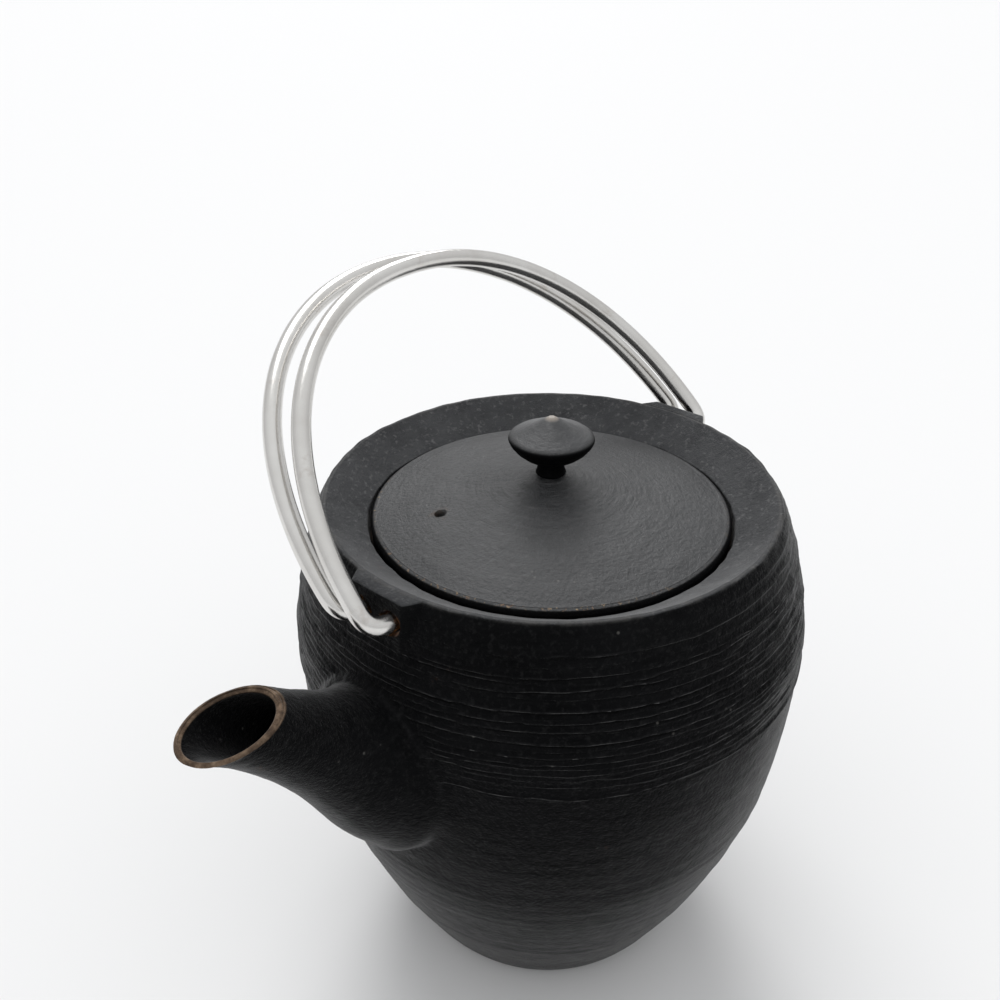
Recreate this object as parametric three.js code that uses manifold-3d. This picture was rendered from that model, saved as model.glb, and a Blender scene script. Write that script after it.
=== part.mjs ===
// Cast iron teapot with a two-rod stainless bail handle, a loose lid and a lift-out infuser.
// Millimetres, +Z up. Origin on the pot's axis at its flat base, spout towards +X, handle arch fore and aft.
import * as THREE from "three";
import { mergeVertices } from "three/addons/utils/BufferGeometryUtils.js";
import Module from "manifold-3d";

const wasm = await Module();
wasm.setup();

// ---------------------------------------------------------------- driving dimensions
const POT_HEIGHT = 123; // base to rim
const RIM_R = 50.9; // outer edge of the rim
const WALL = 4; // cast wall
const FLOOR = 4.8; // floor thickness
const SEAM = 0.3; // clearance between the spout's root and the barrel
const RECESS_R_TOP = 41.38; // recess edge, where the dished rim ends
const RECESS_Z_TOP = 116.84;
const RECESS_R_LOW = 40.95;
const LEDGE_Z = 113.3; // ledge that carries the infuser's rim
const LEDGE_R = 36.2; // clear opening inside the ledge
// outer profile of the barrel: height, radius
const BARREL = [
  [0, 33.7],
  [0.8, 34.4],
  [10.8, 39.9],
  [21.9, 45.3],
  [32.8, 49.65],
  [43.6, 53.35],
  [52.4, 55.7],
  [67, 57.9],
  [78.5, 58.8],
  [87.2, 58.95],
  [88.6, 59.35],
  [93.5, 58.95],
  [99.4, 57.9],
  [105.6, 56.6],
  [111, 55.3],
  [116.5, 53.8],
  [120.4, 52.3],
  [122.6, 51.15],
];

const LUG_FACE_TOP = 53.8; // lug face, distance from the axis at the rim
const LUG_FACE_LOW = 55.7; // and where it runs into the wall
const LUG_LOW_Z = 106;
const LUG_HALF_WIDTH = 6.9;
const LUG_ROOT_HALF_WIDTH = 9.2;
const LUG_ROOT_X = 50.2;

const ROD_R = 2; // handle rod
const HINGE_Z = 117.9; // height of the rods' holes
const HINGE_Y = 3.9; // holes are this far each side of the centre plane
const HOLE_R = 2.4;
const HOLE_END_X = 49.7;
const PIN_END_X = 50.1; // end of the rod inside its hole
const ARCH_HALF_WIDTH = 59.3; // rod centre line
const ARCH_HEIGHT = 66.4; // above the hinge line
const ARCH_POWER = 2.12; // superellipse exponent of the arch
const HOOK_R = 4; // bend radius of the hook
const LEAN_LEFT = 45; // how far each rod leans to -Y, in degrees
const LEAN_RIGHT = 48;

const LID_R = 40.72;
const LID_Z = 114.5; // underside of the lid's edge
const TENON_R = 2.3;
const LID_BORE_R = 2.6;
const STEAM_HOLE = [22.5, -13, 1.1]; // x, y, radius

const RING_OUT_R = 38.4;
const RING_IN_R = 33.95;
const RING_Z = 113.6;
const RING_T = 0.6;
const COLLAR_LOW_Z = 109.4;
const COLLAR_T = 0.55;
const MESH_R = 34.8; // outside of the basket at its top
const MESH_T = 0.5;
const MESH_TOP_Z = 112.6;
const FOLD_TOP_Z = 108.7; // the basket is round above this
const MESH_LOW_Z = 68;
const FOLD_ARM = 33.2; // reach of the folded bottom's three arms
const FOLD_ANGLES = [2, 122, 242]; // degrees from +X
// down the basket, 0 at the fold's top and 1 at its bottom: half width of a pocket, distance of a dent from the axis
const POCKET_HALF = [
  [0, 8],
  [0.11, 6.6],
  [0.45, 5],
  [0.8, 2.8],
  [1, 1],
];
const DENT_R = [
  [0, 34.8],
  [0.11, 28.5],
  [0.25, 21.5],
  [0.4, 15.5],
  [0.55, 10.8],
  [0.7, 7],
  [0.85, 3.8],
  [1, 1.2],
];

// Spout: [top x, top z, bottom x, bottom z, half width], from the root inside the wall to the mouth.
const SPOUT = [
  [44, 97, 47, 62, 17.5],
  [50, 99.8, 54, 59.4, 18.6],
  [54.5, 101.4, 60.2, 61, 17.6],
  [57.4, 102.3, 65, 66.4, 15.2],
  [60.6, 103.3, 69.2, 72.4, 12.9],
  [63.8, 104.7, 72.6, 78.8, 11.2],
  [67.2, 106.5, 76.4, 85.9, 10],
  [70.6, 108.8, 80.4, 92.4, 9.2],
  [74, 111.2, 85.6, 99.4, 8.6],
  [77, 113.6, 92, 106.8, 8.2],
  [79.4, 115.5, 99.6, 113.4, 8.1],
];
// Bore of the spout, same columns, from inside the cavity to past the mouth.
const BORE = [
  [40, 93, 42, 73, 9.5],
  [50, 95, 55, 74, 10.4],
  [57.2, 98.4, 66.5, 78, 10.2],
  [62.6, 101.5, 73.4, 84.2, 9.4],
  [67.6, 104.6, 77.6, 91.6, 8.1],
  [72.2, 108, 82.8, 98.6, 7.3],
  [76.6, 111.4, 89.2, 105.6, 6.9],
  [80.7, 115.1, 98.3, 113.3, 6.8],
  [82.6, 120, 101.6, 118.2, 7.1],
];

// ---------------------------------------------------------------- helpers
function solid(geometry) {
  const g = geometry.clone();
  g.deleteAttribute("normal");
  g.deleteAttribute("uv");
  const m = mergeVertices(g, 1e-4);
  return new wasm.Manifold(
    new wasm.Mesh({
      numProp: 3,
      vertProperties: new Float32Array(m.attributes.position.array),
      triVerts: new Uint32Array(m.index.array),
    }),
  );
}

function geometryOf(manifold) {
  const m = manifold.getMesh();
  const g = new THREE.BufferGeometry();
  g.setAttribute("position", new THREE.BufferAttribute(new Float32Array(m.vertProperties), 3));
  g.setIndex(new THREE.BufferAttribute(new Uint32Array(m.triVerts), 1));
  const flat = g.toNonIndexed();
  flat.computeVertexNormals();
  return flat;
}

// A closed profile of [radius, height] pairs turned about +Z.
function turned(profile, segments) {
  const g = new THREE.LatheGeometry(
    profile.map(([r, z]) => new THREE.Vector2(r, z)),
    segments,
  );
  g.rotateX(Math.PI / 2);
  return g;
}

function turnedSolid(profile, segments) {
  const s = solid(turned(profile, segments));
  return s.volume() < 0 ? solid(turned([...profile].reverse(), segments)) : s;
}

// A closed tube through sections that each have a top point, a bottom point and a half width.
function loft(sections, around) {
  const rows = sections.length - 1;
  const g = new THREE.CylinderGeometry(1, 1, rows, around, rows, false);
  const p = g.attributes.position;
  for (let i = 0; i < p.count; i++) {
    const x = p.getX(i),
      y = p.getY(i),
      z = p.getZ(i);
    const k = Math.round(y + rows / 2);
    const [tx, tz, bx, bz, w] = sections[k];
    const cx = (tx + bx) / 2,
      cz = (tz + bz) / 2;
    const ax = (tx - bx) / 2,
      az = (tz - bz) / 2;
    p.setXYZ(i, cx + ax * x, w * z, cz + az * x);
  }
  const s = solid(g);
  if (s.volume() >= 0) return s;
  const flip = g.clone();
  const idx = flip.index.array;
  for (let i = 0; i < idx.length; i += 3) [idx[i + 1], idx[i + 2]] = [idx[i + 2], idx[i + 1]];
  return solid(flip);
}

function barrelRadius(z) {
  const r = BARREL;
  if (z <= r[0][0]) return r[0][1];
  for (let i = 1; i < r.length; i++)
    if (z <= r[i][0]) {
      const t = (z - r[i - 1][0]) / (r[i][0] - r[i - 1][0]);
      return r[i - 1][1] + t * (r[i][1] - r[i - 1][1]);
    }
  return r[r.length - 1][1];
}

// The barrel's outside as a full solid, grown sideways by a margin.
function barrelSolid(margin) {
  const side = BARREL.map(([z, r]) => [r + margin, z]);
  return turnedSolid([[0, 0], ...side, [RIM_R + margin, POT_HEIGHT], [0, POT_HEIGHT]], 60);
}

// ---------------------------------------------------------------- pot body
function potBody() {
  let body = barrelSolid(0);

  // lug: a wedge with a flat face that runs down into the wall
  const side = new THREE.Shape([
    new THREE.Vector2(44, LUG_LOW_Z),
    new THREE.Vector2(LUG_FACE_LOW, LUG_LOW_Z),
    new THREE.Vector2(LUG_FACE_TOP + 0.05, POT_HEIGHT - 0.6),
    new THREE.Vector2(LUG_FACE_TOP - 0.5, POT_HEIGHT),
    new THREE.Vector2(44, POT_HEIGHT),
  ]);
  const sideG = new THREE.ExtrudeGeometry(side, { depth: 24, bevelEnabled: false, steps: 1 });
  sideG.translate(0, 0, -12);
  sideG.rotateX(Math.PI / 2);
  const plan = new THREE.Shape([
    new THREE.Vector2(43, -LUG_ROOT_HALF_WIDTH),
    new THREE.Vector2(LUG_ROOT_X, -LUG_ROOT_HALF_WIDTH),
    new THREE.Vector2(LUG_FACE_TOP, -LUG_HALF_WIDTH),
    new THREE.Vector2(58, -LUG_HALF_WIDTH),
    new THREE.Vector2(58, LUG_HALF_WIDTH),
    new THREE.Vector2(LUG_FACE_TOP, LUG_HALF_WIDTH),
    new THREE.Vector2(LUG_ROOT_X, LUG_ROOT_HALF_WIDTH),
    new THREE.Vector2(43, LUG_ROOT_HALF_WIDTH),
  ]);
  const planG = new THREE.ExtrudeGeometry(plan, { depth: 30, bevelEnabled: false, steps: 1 });
  planG.translate(0, 0, 100);
  const lug = solid(sideG).intersect(solid(planG));
  body = body.add(lug).add(lug.rotate([0, 0, 180]));

  // cavity, ledge, recess and dished rim in one cutter
  const inside = [[0, FLOOR]];
  inside.push([24, FLOOR + 0.3], [30.6, FLOOR + 2.2], [34.6, FLOOR + 6.2]);
  for (const z of [17, 26, 36, 47, 58, 70, 82, 94]) inside.push([barrelRadius(z) - WALL, z]);
  inside.push([51.9, 102.6], [47.4, 107.6], [42, 110.2], [LEDGE_R, 110.7]);
  inside.push([LEDGE_R, LEDGE_Z], [RECESS_R_LOW, LEDGE_Z], [RECESS_R_TOP, RECESS_Z_TOP]);
  inside.push([46.2, 119.9], [RIM_R - 0.7, POT_HEIGHT], [RIM_R - 0.7, POT_HEIGHT + 8], [0, POT_HEIGHT + 8]);
  body = body.subtract(turnedSolid(inside, 60));

  body = body.subtract(loft(BORE, 24));

  // blind holes for the rods' hooks
  for (const sx of [1, -1])
    for (const sy of [1, -1]) {
      const hole = new THREE.CylinderGeometry(HOLE_R, HOLE_R, 10, 16, 1, false);
      hole.rotateZ(Math.PI / 2);
      hole.translate(sx * (HOLE_END_X + 5), sy * HINGE_Y, HINGE_Z);
      body = body.subtract(solid(hole));
    }
  return body;
}

// ---------------------------------------------------------------- spout
// The tube outside the barrel, clear of it by the seam all round its root.
function spout() {
  return loft(SPOUT, 32).subtract(barrelSolid(SEAM)).subtract(loft(BORE, 24));
}

// ---------------------------------------------------------------- handle rods
// Centre line of a rod in its own plane: hook, leg, arch, leg, hook. Height is measured above the hinge line.
class RodLine extends THREE.Curve {
  constructor() {
    super();
    const half = [];
    half.push([PIN_END_X, 0], [ARCH_HALF_WIDTH - HOOK_R, 0]);
    for (let i = 1; i <= 4; i++) {
      const a = (i / 5) * (Math.PI / 2);
      half.push([ARCH_HALF_WIDTH - HOOK_R + HOOK_R * Math.sin(a), HOOK_R * (1 - Math.cos(a))]);
    }
    const n = 22;
    const e = 2 / ARCH_POWER;
    for (let i = 1; i <= n; i++) {
      const a = (i / n) * (Math.PI / 2);
      const h = ARCH_HEIGHT * Math.pow(Math.sin(a), e);
      if (h < HOOK_R + 0.5) continue;
      half.push([i === n ? 0 : ARCH_HALF_WIDTH * Math.pow(Math.cos(a), e), h]);
    }
    const back = half.slice(0, -1).reverse().map(([x, h]) => [-x, h]);
    this.line = [...half, ...back].map(([x, h]) => new THREE.Vector3(x, 0, h));
  }
  getPoint(t, target = new THREE.Vector3()) {
    const last = this.line.length - 1;
    const s = Math.min(Math.max(t, 0), 1) * last;
    const i = Math.min(Math.floor(s), last - 1);
    return target.copy(this.line[i]).lerp(this.line[i + 1], s - i);
  }
  // one step for each point of the line
  getUtoTmapping(u) {
    return u;
  }
}

function rodGeometry() {
  const line = new RodLine();
  const section = new THREE.Shape();
  const sides = 12;
  for (let i = 0; i < sides; i++) {
    const a = (i / sides) * 2 * Math.PI;
    const x = ROD_R * Math.cos(a),
      y = ROD_R * Math.sin(a);
    if (i === 0) section.moveTo(x, y);
    else section.lineTo(x, y);
  }
  section.closePath();
  return new THREE.ExtrudeGeometry(section, {
    steps: line.line.length - 1,
    extrudePath: line,
    curveSegments: 1,
    bevelEnabled: false,
  });
}

// ---------------------------------------------------------------- lid
function lidPlate() {
  const profile = [
    [LID_BORE_R, 123.4],
    [9, 122.1],
    [18, 119.5],
    [28, 117.5],
    [35, 116],
    [36.4, LID_Z],
    [LID_R - 0.2, LID_Z],
    [LID_R, 117.1],
    [40.2, 117.7],
    [37.5, 118.5],
    [33, 119.65],
    [27, 121],
    [20, 122.3],
    [14, 123.6],
    [9, 124.9],
    [5, 126],
    [LID_BORE_R, 126.4],
    [LID_BORE_R, 123.4],
  ];
  let lid = turnedSolid(profile, 60);
  const [x, y, r] = STEAM_HOLE;
  const hole = new THREE.CylinderGeometry(r, r, 20, 12, 1, false);
  hole.rotateX(Math.PI / 2);
  hole.translate(x, y, 120);
  return lid.subtract(solid(hole));
}

const KNOB = [
  [0, 121.6],
  [3.4, 121.7],
  [4.2, 122.2],
  [4, 122.7],
  [TENON_R, 122.9],
  [TENON_R, 126.7],
  [3.3, 126.75],
  [3, 127.6],
  [3, 129.5],
  [3.4, 130.3],
  [5.4, 130.9],
  [7.7, 132.3],
  [9.2, 134.1],
  [9.6, 135.1],
  [9.3, 135.7],
  [7, 136.9],
  [4, 138.5],
  [2, 139.6],
  [0.7, 140.35],
  [0, 140.5],
];

// ---------------------------------------------------------------- infuser
function infuserRim() {
  return turnedSolid(
    [
      [RING_IN_R - COLLAR_T, COLLAR_LOW_Z],
      [RING_IN_R, COLLAR_LOW_Z],
      [RING_IN_R, RING_Z],
      [RING_OUT_R, RING_Z],
      [RING_OUT_R, RING_Z + RING_T],
      [RING_IN_R, RING_Z + RING_T],
      [RING_IN_R - COLLAR_T, RING_Z],
      [RING_IN_R - COLLAR_T, COLLAR_LOW_Z],
    ],
    64,
  );
}

// Value at v of a list of [v, value] pairs.
function along(list, v) {
  for (let i = 1; i < list.length; i++)
    if (v <= list[i][0]) {
      const t = (v - list[i - 1][0]) / (list[i][0] - list[i - 1][0]);
      return list[i - 1][1] + t * (list[i][1] - list[i - 1][1]);
    }
  return list[list.length - 1][1];
}

// One closed basket shape: round at the top, three dents between three pockets below, folded flat at the bottom.
function basket(inset, topZ, lowZ) {
  const rows = 10;
  const half = 13; // steps from the middle of a pocket to the middle of a dent
  const back = 3; // of which on the pocket's back
  const around = half * 6;
  const g = new THREE.CylinderGeometry(1, 1, rows, around, rows, false);
  g.rotateX(Math.PI / 2);
  const p = g.attributes.position;
  const third = (2 * Math.PI) / 3;
  for (let i = 0; i < p.count; i++) {
    const x = p.getX(i),
      y = p.getY(i),
      row = Math.round(p.getZ(i) + rows / 2);
    const step = rows - row; // 0 at the top edge, 1 where the dents begin
    const v = Math.max(step - 1, 0) / (rows - 1);
    const z = step === 0 ? topZ : FOLD_TOP_Z + (lowZ - FOLD_TOP_Z) * v;
    if (Math.hypot(x, y) < 1e-6) {
      p.setXYZ(i, 0, 0, z);
      continue;
    }
    const k = Math.round((Math.atan2(y, x) / (2 * Math.PI)) * around + around) % around;
    const armIndex = Math.round(k / (2 * half)) % 3;
    const from = k - Math.round(k / (2 * half)) * 2 * half; // signed steps from the pocket's middle
    const n = Math.abs(from);
    const radius = MESH_R - inset + (FOLD_ARM - MESH_R) * v;
    const w = along(POCKET_HALF, v) - inset;
    const dent = Math.max(Math.min(along(DENT_R, v), MESH_R) - inset, w / Math.sin(third / 2));
    const turn = Math.asin(w / radius);
    let lx, ly;
    if (n <= back) {
      const a = (turn * n) / back;
      lx = radius * Math.cos(a);
      ly = radius * Math.sin(a);
    } else {
      const t = (n - back) / (half - back);
      const p0 = [radius * Math.cos(turn), w];
      const p1 = [dent * Math.cos(third / 2), dent * Math.sin(third / 2)];
      const mid = (turn + third / 2) / 2;
      const rc = radius / Math.cos((third / 2 - turn) / 2);
      const round = [rc * Math.cos(mid), rc * Math.sin(mid)];
      const bent = [Math.min((dent - w * Math.sin(third / 2)) / Math.cos(third / 2), p0[0] * 0.97), w];
      let s = Math.min(Math.max((radius - dent) / (radius * 0.35), 0), 1);
      s = s * s * (3 - 2 * s);
      const q = [round[0] + (bent[0] - round[0]) * s, round[1] + (bent[1] - round[1]) * s];
      lx = (1 - t) * (1 - t) * p0[0] + 2 * t * (1 - t) * q[0] + t * t * p1[0];
      ly = (1 - t) * (1 - t) * p0[1] + 2 * t * (1 - t) * q[1] + t * t * p1[1];
    }
    if (from < 0) ly = -ly;
    const arm = (FOLD_ANGLES[armIndex] * Math.PI) / 180;
    p.setXYZ(i, lx * Math.cos(arm) - ly * Math.sin(arm), lx * Math.sin(arm) + ly * Math.cos(arm), z);
  }
  return solid(g);
}

function infuserMesh() {
  const outer = basket(0, MESH_TOP_Z, MESH_LOW_Z);
  const inner = basket(MESH_T, MESH_TOP_Z + 0.6, MESH_LOW_Z + 0.9);
  return outer.subtract(inner);
}

// ---------------------------------------------------------------- assembly
const castIron = { color: 0x2b2d30, roughness: 0.72, metalness: 0.35 };
const steel = { color: 0xc9c8c4, roughness: 0.25, metalness: 1 };

function piece(name, geometry, look) {
  const mesh = new THREE.Mesh(geometry, new THREE.MeshStandardMaterial(look));
  mesh.name = name;
  return mesh;
}

const teapot = new THREE.Group();

teapot.add(piece("pot_body", geometryOf(potBody()), castIron));
teapot.add(piece("spout", geometryOf(spout()), castIron));

const lid = new THREE.Group();
lid.add(piece("lid_plate", geometryOf(lidPlate()), castIron));
lid.add(piece("lid_knob", geometryOf(turnedSolid(KNOB, 32)), castIron));
teapot.add(lid);

const infuser = new THREE.Group();
infuser.add(piece("infuser_rim", geometryOf(infuserRim()), steel));
infuser.add(
  piece("infuser_mesh", geometryOf(infuserMesh()), { color: 0x6f6a62, roughness: 0.5, metalness: 0.9 }),
);
teapot.add(infuser);

for (const [name, y, lean] of [
  ["handle_rod_left", HINGE_Y, LEAN_LEFT],
  ["handle_rod_right", -HINGE_Y, LEAN_RIGHT],
]) {
  const rod = piece(name, rodGeometry(), steel);
  rod.position.set(0, y, HINGE_Z);
  rod.rotation.x = THREE.MathUtils.degToRad(lean);
  teapot.add(rod);
}

export default teapot;
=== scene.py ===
import math

import bpy
import numpy as np
from mathutils import Matrix, Vector


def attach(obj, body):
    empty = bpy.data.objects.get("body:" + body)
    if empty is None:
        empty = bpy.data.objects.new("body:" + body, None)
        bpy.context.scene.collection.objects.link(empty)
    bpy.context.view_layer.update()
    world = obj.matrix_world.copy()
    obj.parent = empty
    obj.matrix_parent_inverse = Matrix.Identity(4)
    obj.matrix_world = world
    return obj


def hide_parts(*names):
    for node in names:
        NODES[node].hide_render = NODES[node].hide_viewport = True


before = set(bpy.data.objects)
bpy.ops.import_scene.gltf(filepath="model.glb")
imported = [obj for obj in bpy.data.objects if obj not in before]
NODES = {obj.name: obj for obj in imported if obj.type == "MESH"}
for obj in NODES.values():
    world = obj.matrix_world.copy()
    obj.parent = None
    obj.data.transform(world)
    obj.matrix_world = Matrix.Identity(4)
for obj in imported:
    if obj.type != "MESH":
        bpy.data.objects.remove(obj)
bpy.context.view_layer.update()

MM = 0.001
rng = np.random.default_rng(20)

# ------------------------------------------------------------------ shapes, in millimetres
POT_HEIGHT = 123.0
RIM_R = 50.9
BARREL = [(0, 33.7), (0.8, 34.4), (10.8, 39.9), (21.9, 45.3), (32.8, 49.65), (43.6, 53.35), (52.4, 55.7),
          (67, 57.9), (78.5, 58.8), (86.2, 58.95), (93.5, 58.9), (99.4, 57.9), (105.6, 56.6), (111, 55.3),
          (116.5, 53.8), (120.4, 52.3), (122.6, 51.15)]
LUG_FACE_TOP, LUG_FACE_LOW, LUG_LOW_Z = 53.8, 55.7, 106.0
LUG_HALF, LUG_ROOT_HALF, LUG_ROOT_X = 6.9, 9.2, 50.2
HINGE_Z, HINGE_Y = 117.9, 3.9
ROD_R = 2.0
ARCH_HALF, ARCH_H, ARCH_P, HOOK_R = 59.3, 66.4, 2.12, 4.0
PIN_END_X = 50.1
LEAN = {"left": 45.0, "right": 48.0}
SPOUT = [(44, 97, 47, 62, 17.5), (50, 99.8, 54, 59.4, 18.6), (54.5, 101.4, 60.2, 61, 17.6),
         (57.4, 102.3, 65, 66.4, 15.2), (60.6, 103.3, 69.2, 72.4, 12.9), (63.8, 104.7, 72.6, 78.8, 11.2),
         (67.2, 106.5, 76.4, 85.9, 10), (70.6, 108.8, 80.4, 92.4, 9.2), (74, 111.2, 85.6, 99.4, 8.6),
         (77, 113.6, 92, 106.8, 8.2), (79.4, 115.5, 99.6, 113.4, 8.1)]
BORE = [(40, 93, 42, 73, 9.5), (50, 95, 55, 74, 10.4), (57.2, 98.4, 66.5, 78, 10.2), (62.6, 101.5, 73.4, 84.2, 9.4),
        (67.6, 104.6, 77.6, 91.6, 8.1), (72.2, 108, 82.8, 98.6, 7.3), (76.6, 111.4, 89.2, 105.6, 6.9),
        (80.7, 115.1, 98.3, 113.3, 6.8)]


# ------------------------------------------------------------------ numbers
def smooth_curve(xs, ys, x):
    """Monotone cubic through the points."""
    xs, ys, x = (np.asarray(v, float) for v in (xs, ys, x))
    h = np.diff(xs)
    d = np.diff(ys) / h
    m = np.zeros_like(ys)
    m[0], m[-1] = d[0], d[-1]
    for i in range(1, len(xs) - 1):
        if d[i - 1] * d[i] > 0:
            w1, w2 = 2 * h[i] + h[i - 1], h[i] + 2 * h[i - 1]
            m[i] = (w1 + w2) / (w1 / d[i - 1] + w2 / d[i])
    k = np.clip(np.searchsorted(xs, x, side="right") - 1, 0, len(xs) - 2)
    t = (x - xs[k]) / h[k]
    t2, t3 = t * t, t * t * t
    return ((2 * t3 - 3 * t2 + 1) * ys[k] + (t3 - 2 * t2 + t) * h[k] * m[k]
            + (3 * t2 - 2 * t3) * ys[k + 1] + (t3 - t2) * h[k] * m[k + 1])


def step01(x, a, b):
    t = np.clip((x - a) / (b - a), 0, 1)
    return t * t * (3 - 2 * t)


def ring_noise(theta, low, high, seed, n=7):
    """A smooth random function round the axis, about -1 to 1, with waves of low to high per turn."""
    g = np.random.default_rng(seed)
    out = np.zeros_like(theta)
    for _ in range(n):
        out = out + g.uniform(0.4, 1) * np.sin(g.integers(low, high + 1) * theta + g.uniform(0, 6.283))
    return out / math.sqrt(n) / 0.75


def lattice_noise(u, v, seed, wrap=None):
    """Smooth value noise on a unit lattice. wrap is the number of cells after which u repeats."""
    g = np.random.default_rng(seed)
    table = g.uniform(-1, 1, (512, 512))
    iu, iv = np.floor(u).astype(int), np.floor(v).astype(int)
    fu, fv = u - iu, v - iv
    fu, fv = fu * fu * (3 - 2 * fu), fv * fv * (3 - 2 * fv)

    def at(a, b):
        a = a % wrap if wrap else a
        return table[a % 512, b % 512]

    return ((at(iu, iv) * (1 - fu) + at(iu + 1, iv) * fu) * (1 - fv)
            + (at(iu, iv + 1) * (1 - fu) + at(iu + 1, iv + 1) * fu) * fv)


# ------------------------------------------------------------------ meshes
def new_object(name, verts, faces, uvs=None):
    me = bpy.data.meshes.new(name)
    me.from_pydata((np.asarray(verts) * MM).tolist(), [], faces)
    me.update()
    if uvs is not None:
        layer = me.uv_layers.new(name="UVMap")
        idx = np.empty(len(me.loops), dtype=np.int32)
        me.loops.foreach_get("vertex_index", idx)
        layer.data.foreach_set("uv", np.asarray(uvs, dtype=np.float32)[idx].ravel())
    o = bpy.data.objects.new(name, me)
    bpy.context.scene.collection.objects.link(o)
    return o


def quads(rows, cols, first=0, wrap=True, flip=False):
    """Faces of a grid of rows by cols vertices, joined round the columns."""
    out = []
    span = cols if wrap else cols - 1
    for i in range(rows - 1):
        a = first + i * cols
        b = a + cols
        for j in range(span):
            k = (j + 1) % cols
            f = (a + j, a + k, b + k, b + j)
            out.append(f[::-1] if flip else f)
    return out


def closed_grid(name, grid, start=None, end=None, uvs=None):
    """A tube of rings. start and end are the points that close it."""
    rows, cols, _ = grid.shape
    verts = grid.reshape(-1, 3).tolist()
    faces = quads(rows, cols)
    if start is not None:
        verts.append(list(start))
        c = len(verts) - 1
        faces += [(c, (j + 1) % cols, j) for j in range(cols)]
    if end is not None:
        verts.append(list(end))
        c = len(verts) - 1
        b = (rows - 1) * cols
        faces += [(c, b + j, b + (j + 1) % cols) for j in range(cols)]
    o = new_object(name, verts, faces, uvs)
    outward(o)
    return o


def outward(o):
    """Turns a closed mesh's faces out."""
    me = o.data
    n = len(me.loop_triangles) if me.loop_triangles else 0
    me.calc_loop_triangles()
    n = len(me.loop_triangles)
    tri = np.empty(n * 3, dtype=np.int32)
    me.loop_triangles.foreach_get("vertices", tri)
    co = np.empty(len(me.vertices) * 3, dtype=np.float32)
    me.vertices.foreach_get("co", co)
    p = co.reshape(-1, 3).astype(float)[tri.reshape(-1, 3)]
    if np.einsum("ij,ij->i", p[:, 0], np.cross(p[:, 1], p[:, 2])).sum() < 0:
        me.flip_normals()


def smooth(o, angle=35):
    me = o.data
    me.shade_smooth()
    me.set_sharp_from_angle(angle=math.radians(angle))


def boolean(o, other, operation):
    m = o.modifiers.new("b", "BOOLEAN")
    m.operation = operation
    m.object = other
    m.solver = "MANIFOLD"
    before = len(o.data.polygons)
    dg = bpy.context.evaluated_depsgraph_get()
    made = bpy.data.meshes.new_from_object(o.evaluated_get(dg))
    if len(made.polygons) < 50 or len(made.polygons) == before:
        m.solver = "EXACT"
        dg = bpy.context.evaluated_depsgraph_get()
        made = bpy.data.meshes.new_from_object(o.evaluated_get(dg))
    o.modifiers.remove(m)
    old = o.data
    name = old.name
    o.data = made
    bpy.data.meshes.remove(old)
    made.name = name
    bpy.data.objects.remove(other)
    print("boolean", o.name, operation, before, "->", len(made.polygons))


def lathe(name, profile, segments, edit=None):
    """A closed body of a profile of (r, z) turned about Z. Points with r 0 at the ends close it."""
    prof = np.array(profile, float)
    th = np.arange(segments) / segments * 2 * math.pi
    closed_on_axis = prof[0, 0] < 1e-6 and prof[-1, 0] < 1e-6
    body = prof[1:-1] if closed_on_axis else prof
    R = np.repeat(body[:, :1], segments, 1)
    Z = np.repeat(body[:, 1:], segments, 1)
    T = np.repeat(th[None], len(body), 0)
    if edit is not None:
        R, Z = edit(R, Z, T)
    grid = np.stack([R * np.cos(T), R * np.sin(T), Z], -1)
    if closed_on_axis:
        return closed_grid(name, grid, (0, 0, prof[0, 1]), (0, 0, prof[-1, 1]))
    rows = len(body)
    verts = grid.reshape(-1, 3).tolist()
    faces = quads(rows, segments)
    last = (rows - 1) * segments
    faces += [(last + j, last + (j + 1) % segments, (j + 1) % segments, j) for j in range(segments)]
    o = new_object(name, verts, faces)
    outward(o)
    return o


def rounded(points, radius, steps=4):
    """A profile with its inner corners rounded. points are (r, z) or (r, z, own radius)."""
    out = [tuple(points[0][:2])]
    for i in range(1, len(points) - 1):
        p = np.array(points[i][:2], float)
        rad = points[i][2] if len(points[i]) > 2 else radius
        a = np.array(points[i - 1][:2], float) - p
        b = np.array(points[i + 1][:2], float) - p
        la, lb = np.linalg.norm(a), np.linalg.norm(b)
        a, b = a / la, b / lb
        cos = np.clip(a @ b, -1, 1)
        if rad <= 0 or cos < -0.995:
            out.append(tuple(p))
            continue
        cut = min(rad / math.tan(math.acos(cos) / 2), la * 0.45, lb * 0.45)
        for t in np.linspace(0, 1, steps + 1):
            q = (1 - t) ** 2 * (p + a * cut) + 2 * t * (1 - t) * p + t * t * (p + b * cut)
            out.append(tuple(q))
    out.append(tuple(points[-1][:2]))
    return out


def loft(name, rows_in, samples, around, ends=None):
    """A closed tube through sections of (top x, top z, bottom x, bottom z, half width). ends changes the rows."""
    rows_in = np.array(rows_in, float)
    k = np.arange(len(rows_in))
    t = np.linspace(0, len(rows_in) - 1, samples)
    rows = np.stack([smooth_curve(k, rows_in[:, c], t) for c in range(5)], 1)
    if ends is not None:
        rows = ends(rows)
    a = np.arange(around) / around * 2 * math.pi
    c, s = np.cos(a), np.sin(a)
    cx, cz = (rows[:, 0] + rows[:, 2]) / 2, (rows[:, 1] + rows[:, 3]) / 2
    ax, az = (rows[:, 0] - rows[:, 2]) / 2, (rows[:, 1] - rows[:, 3]) / 2
    grid = np.stack([cx[:, None] + ax[:, None] * c, rows[:, 4:] * s, cz[:, None] + az[:, None] * c], -1)
    return grid, (cx[0], 0, cz[0]), (cx[-1], 0, cz[-1])


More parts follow.
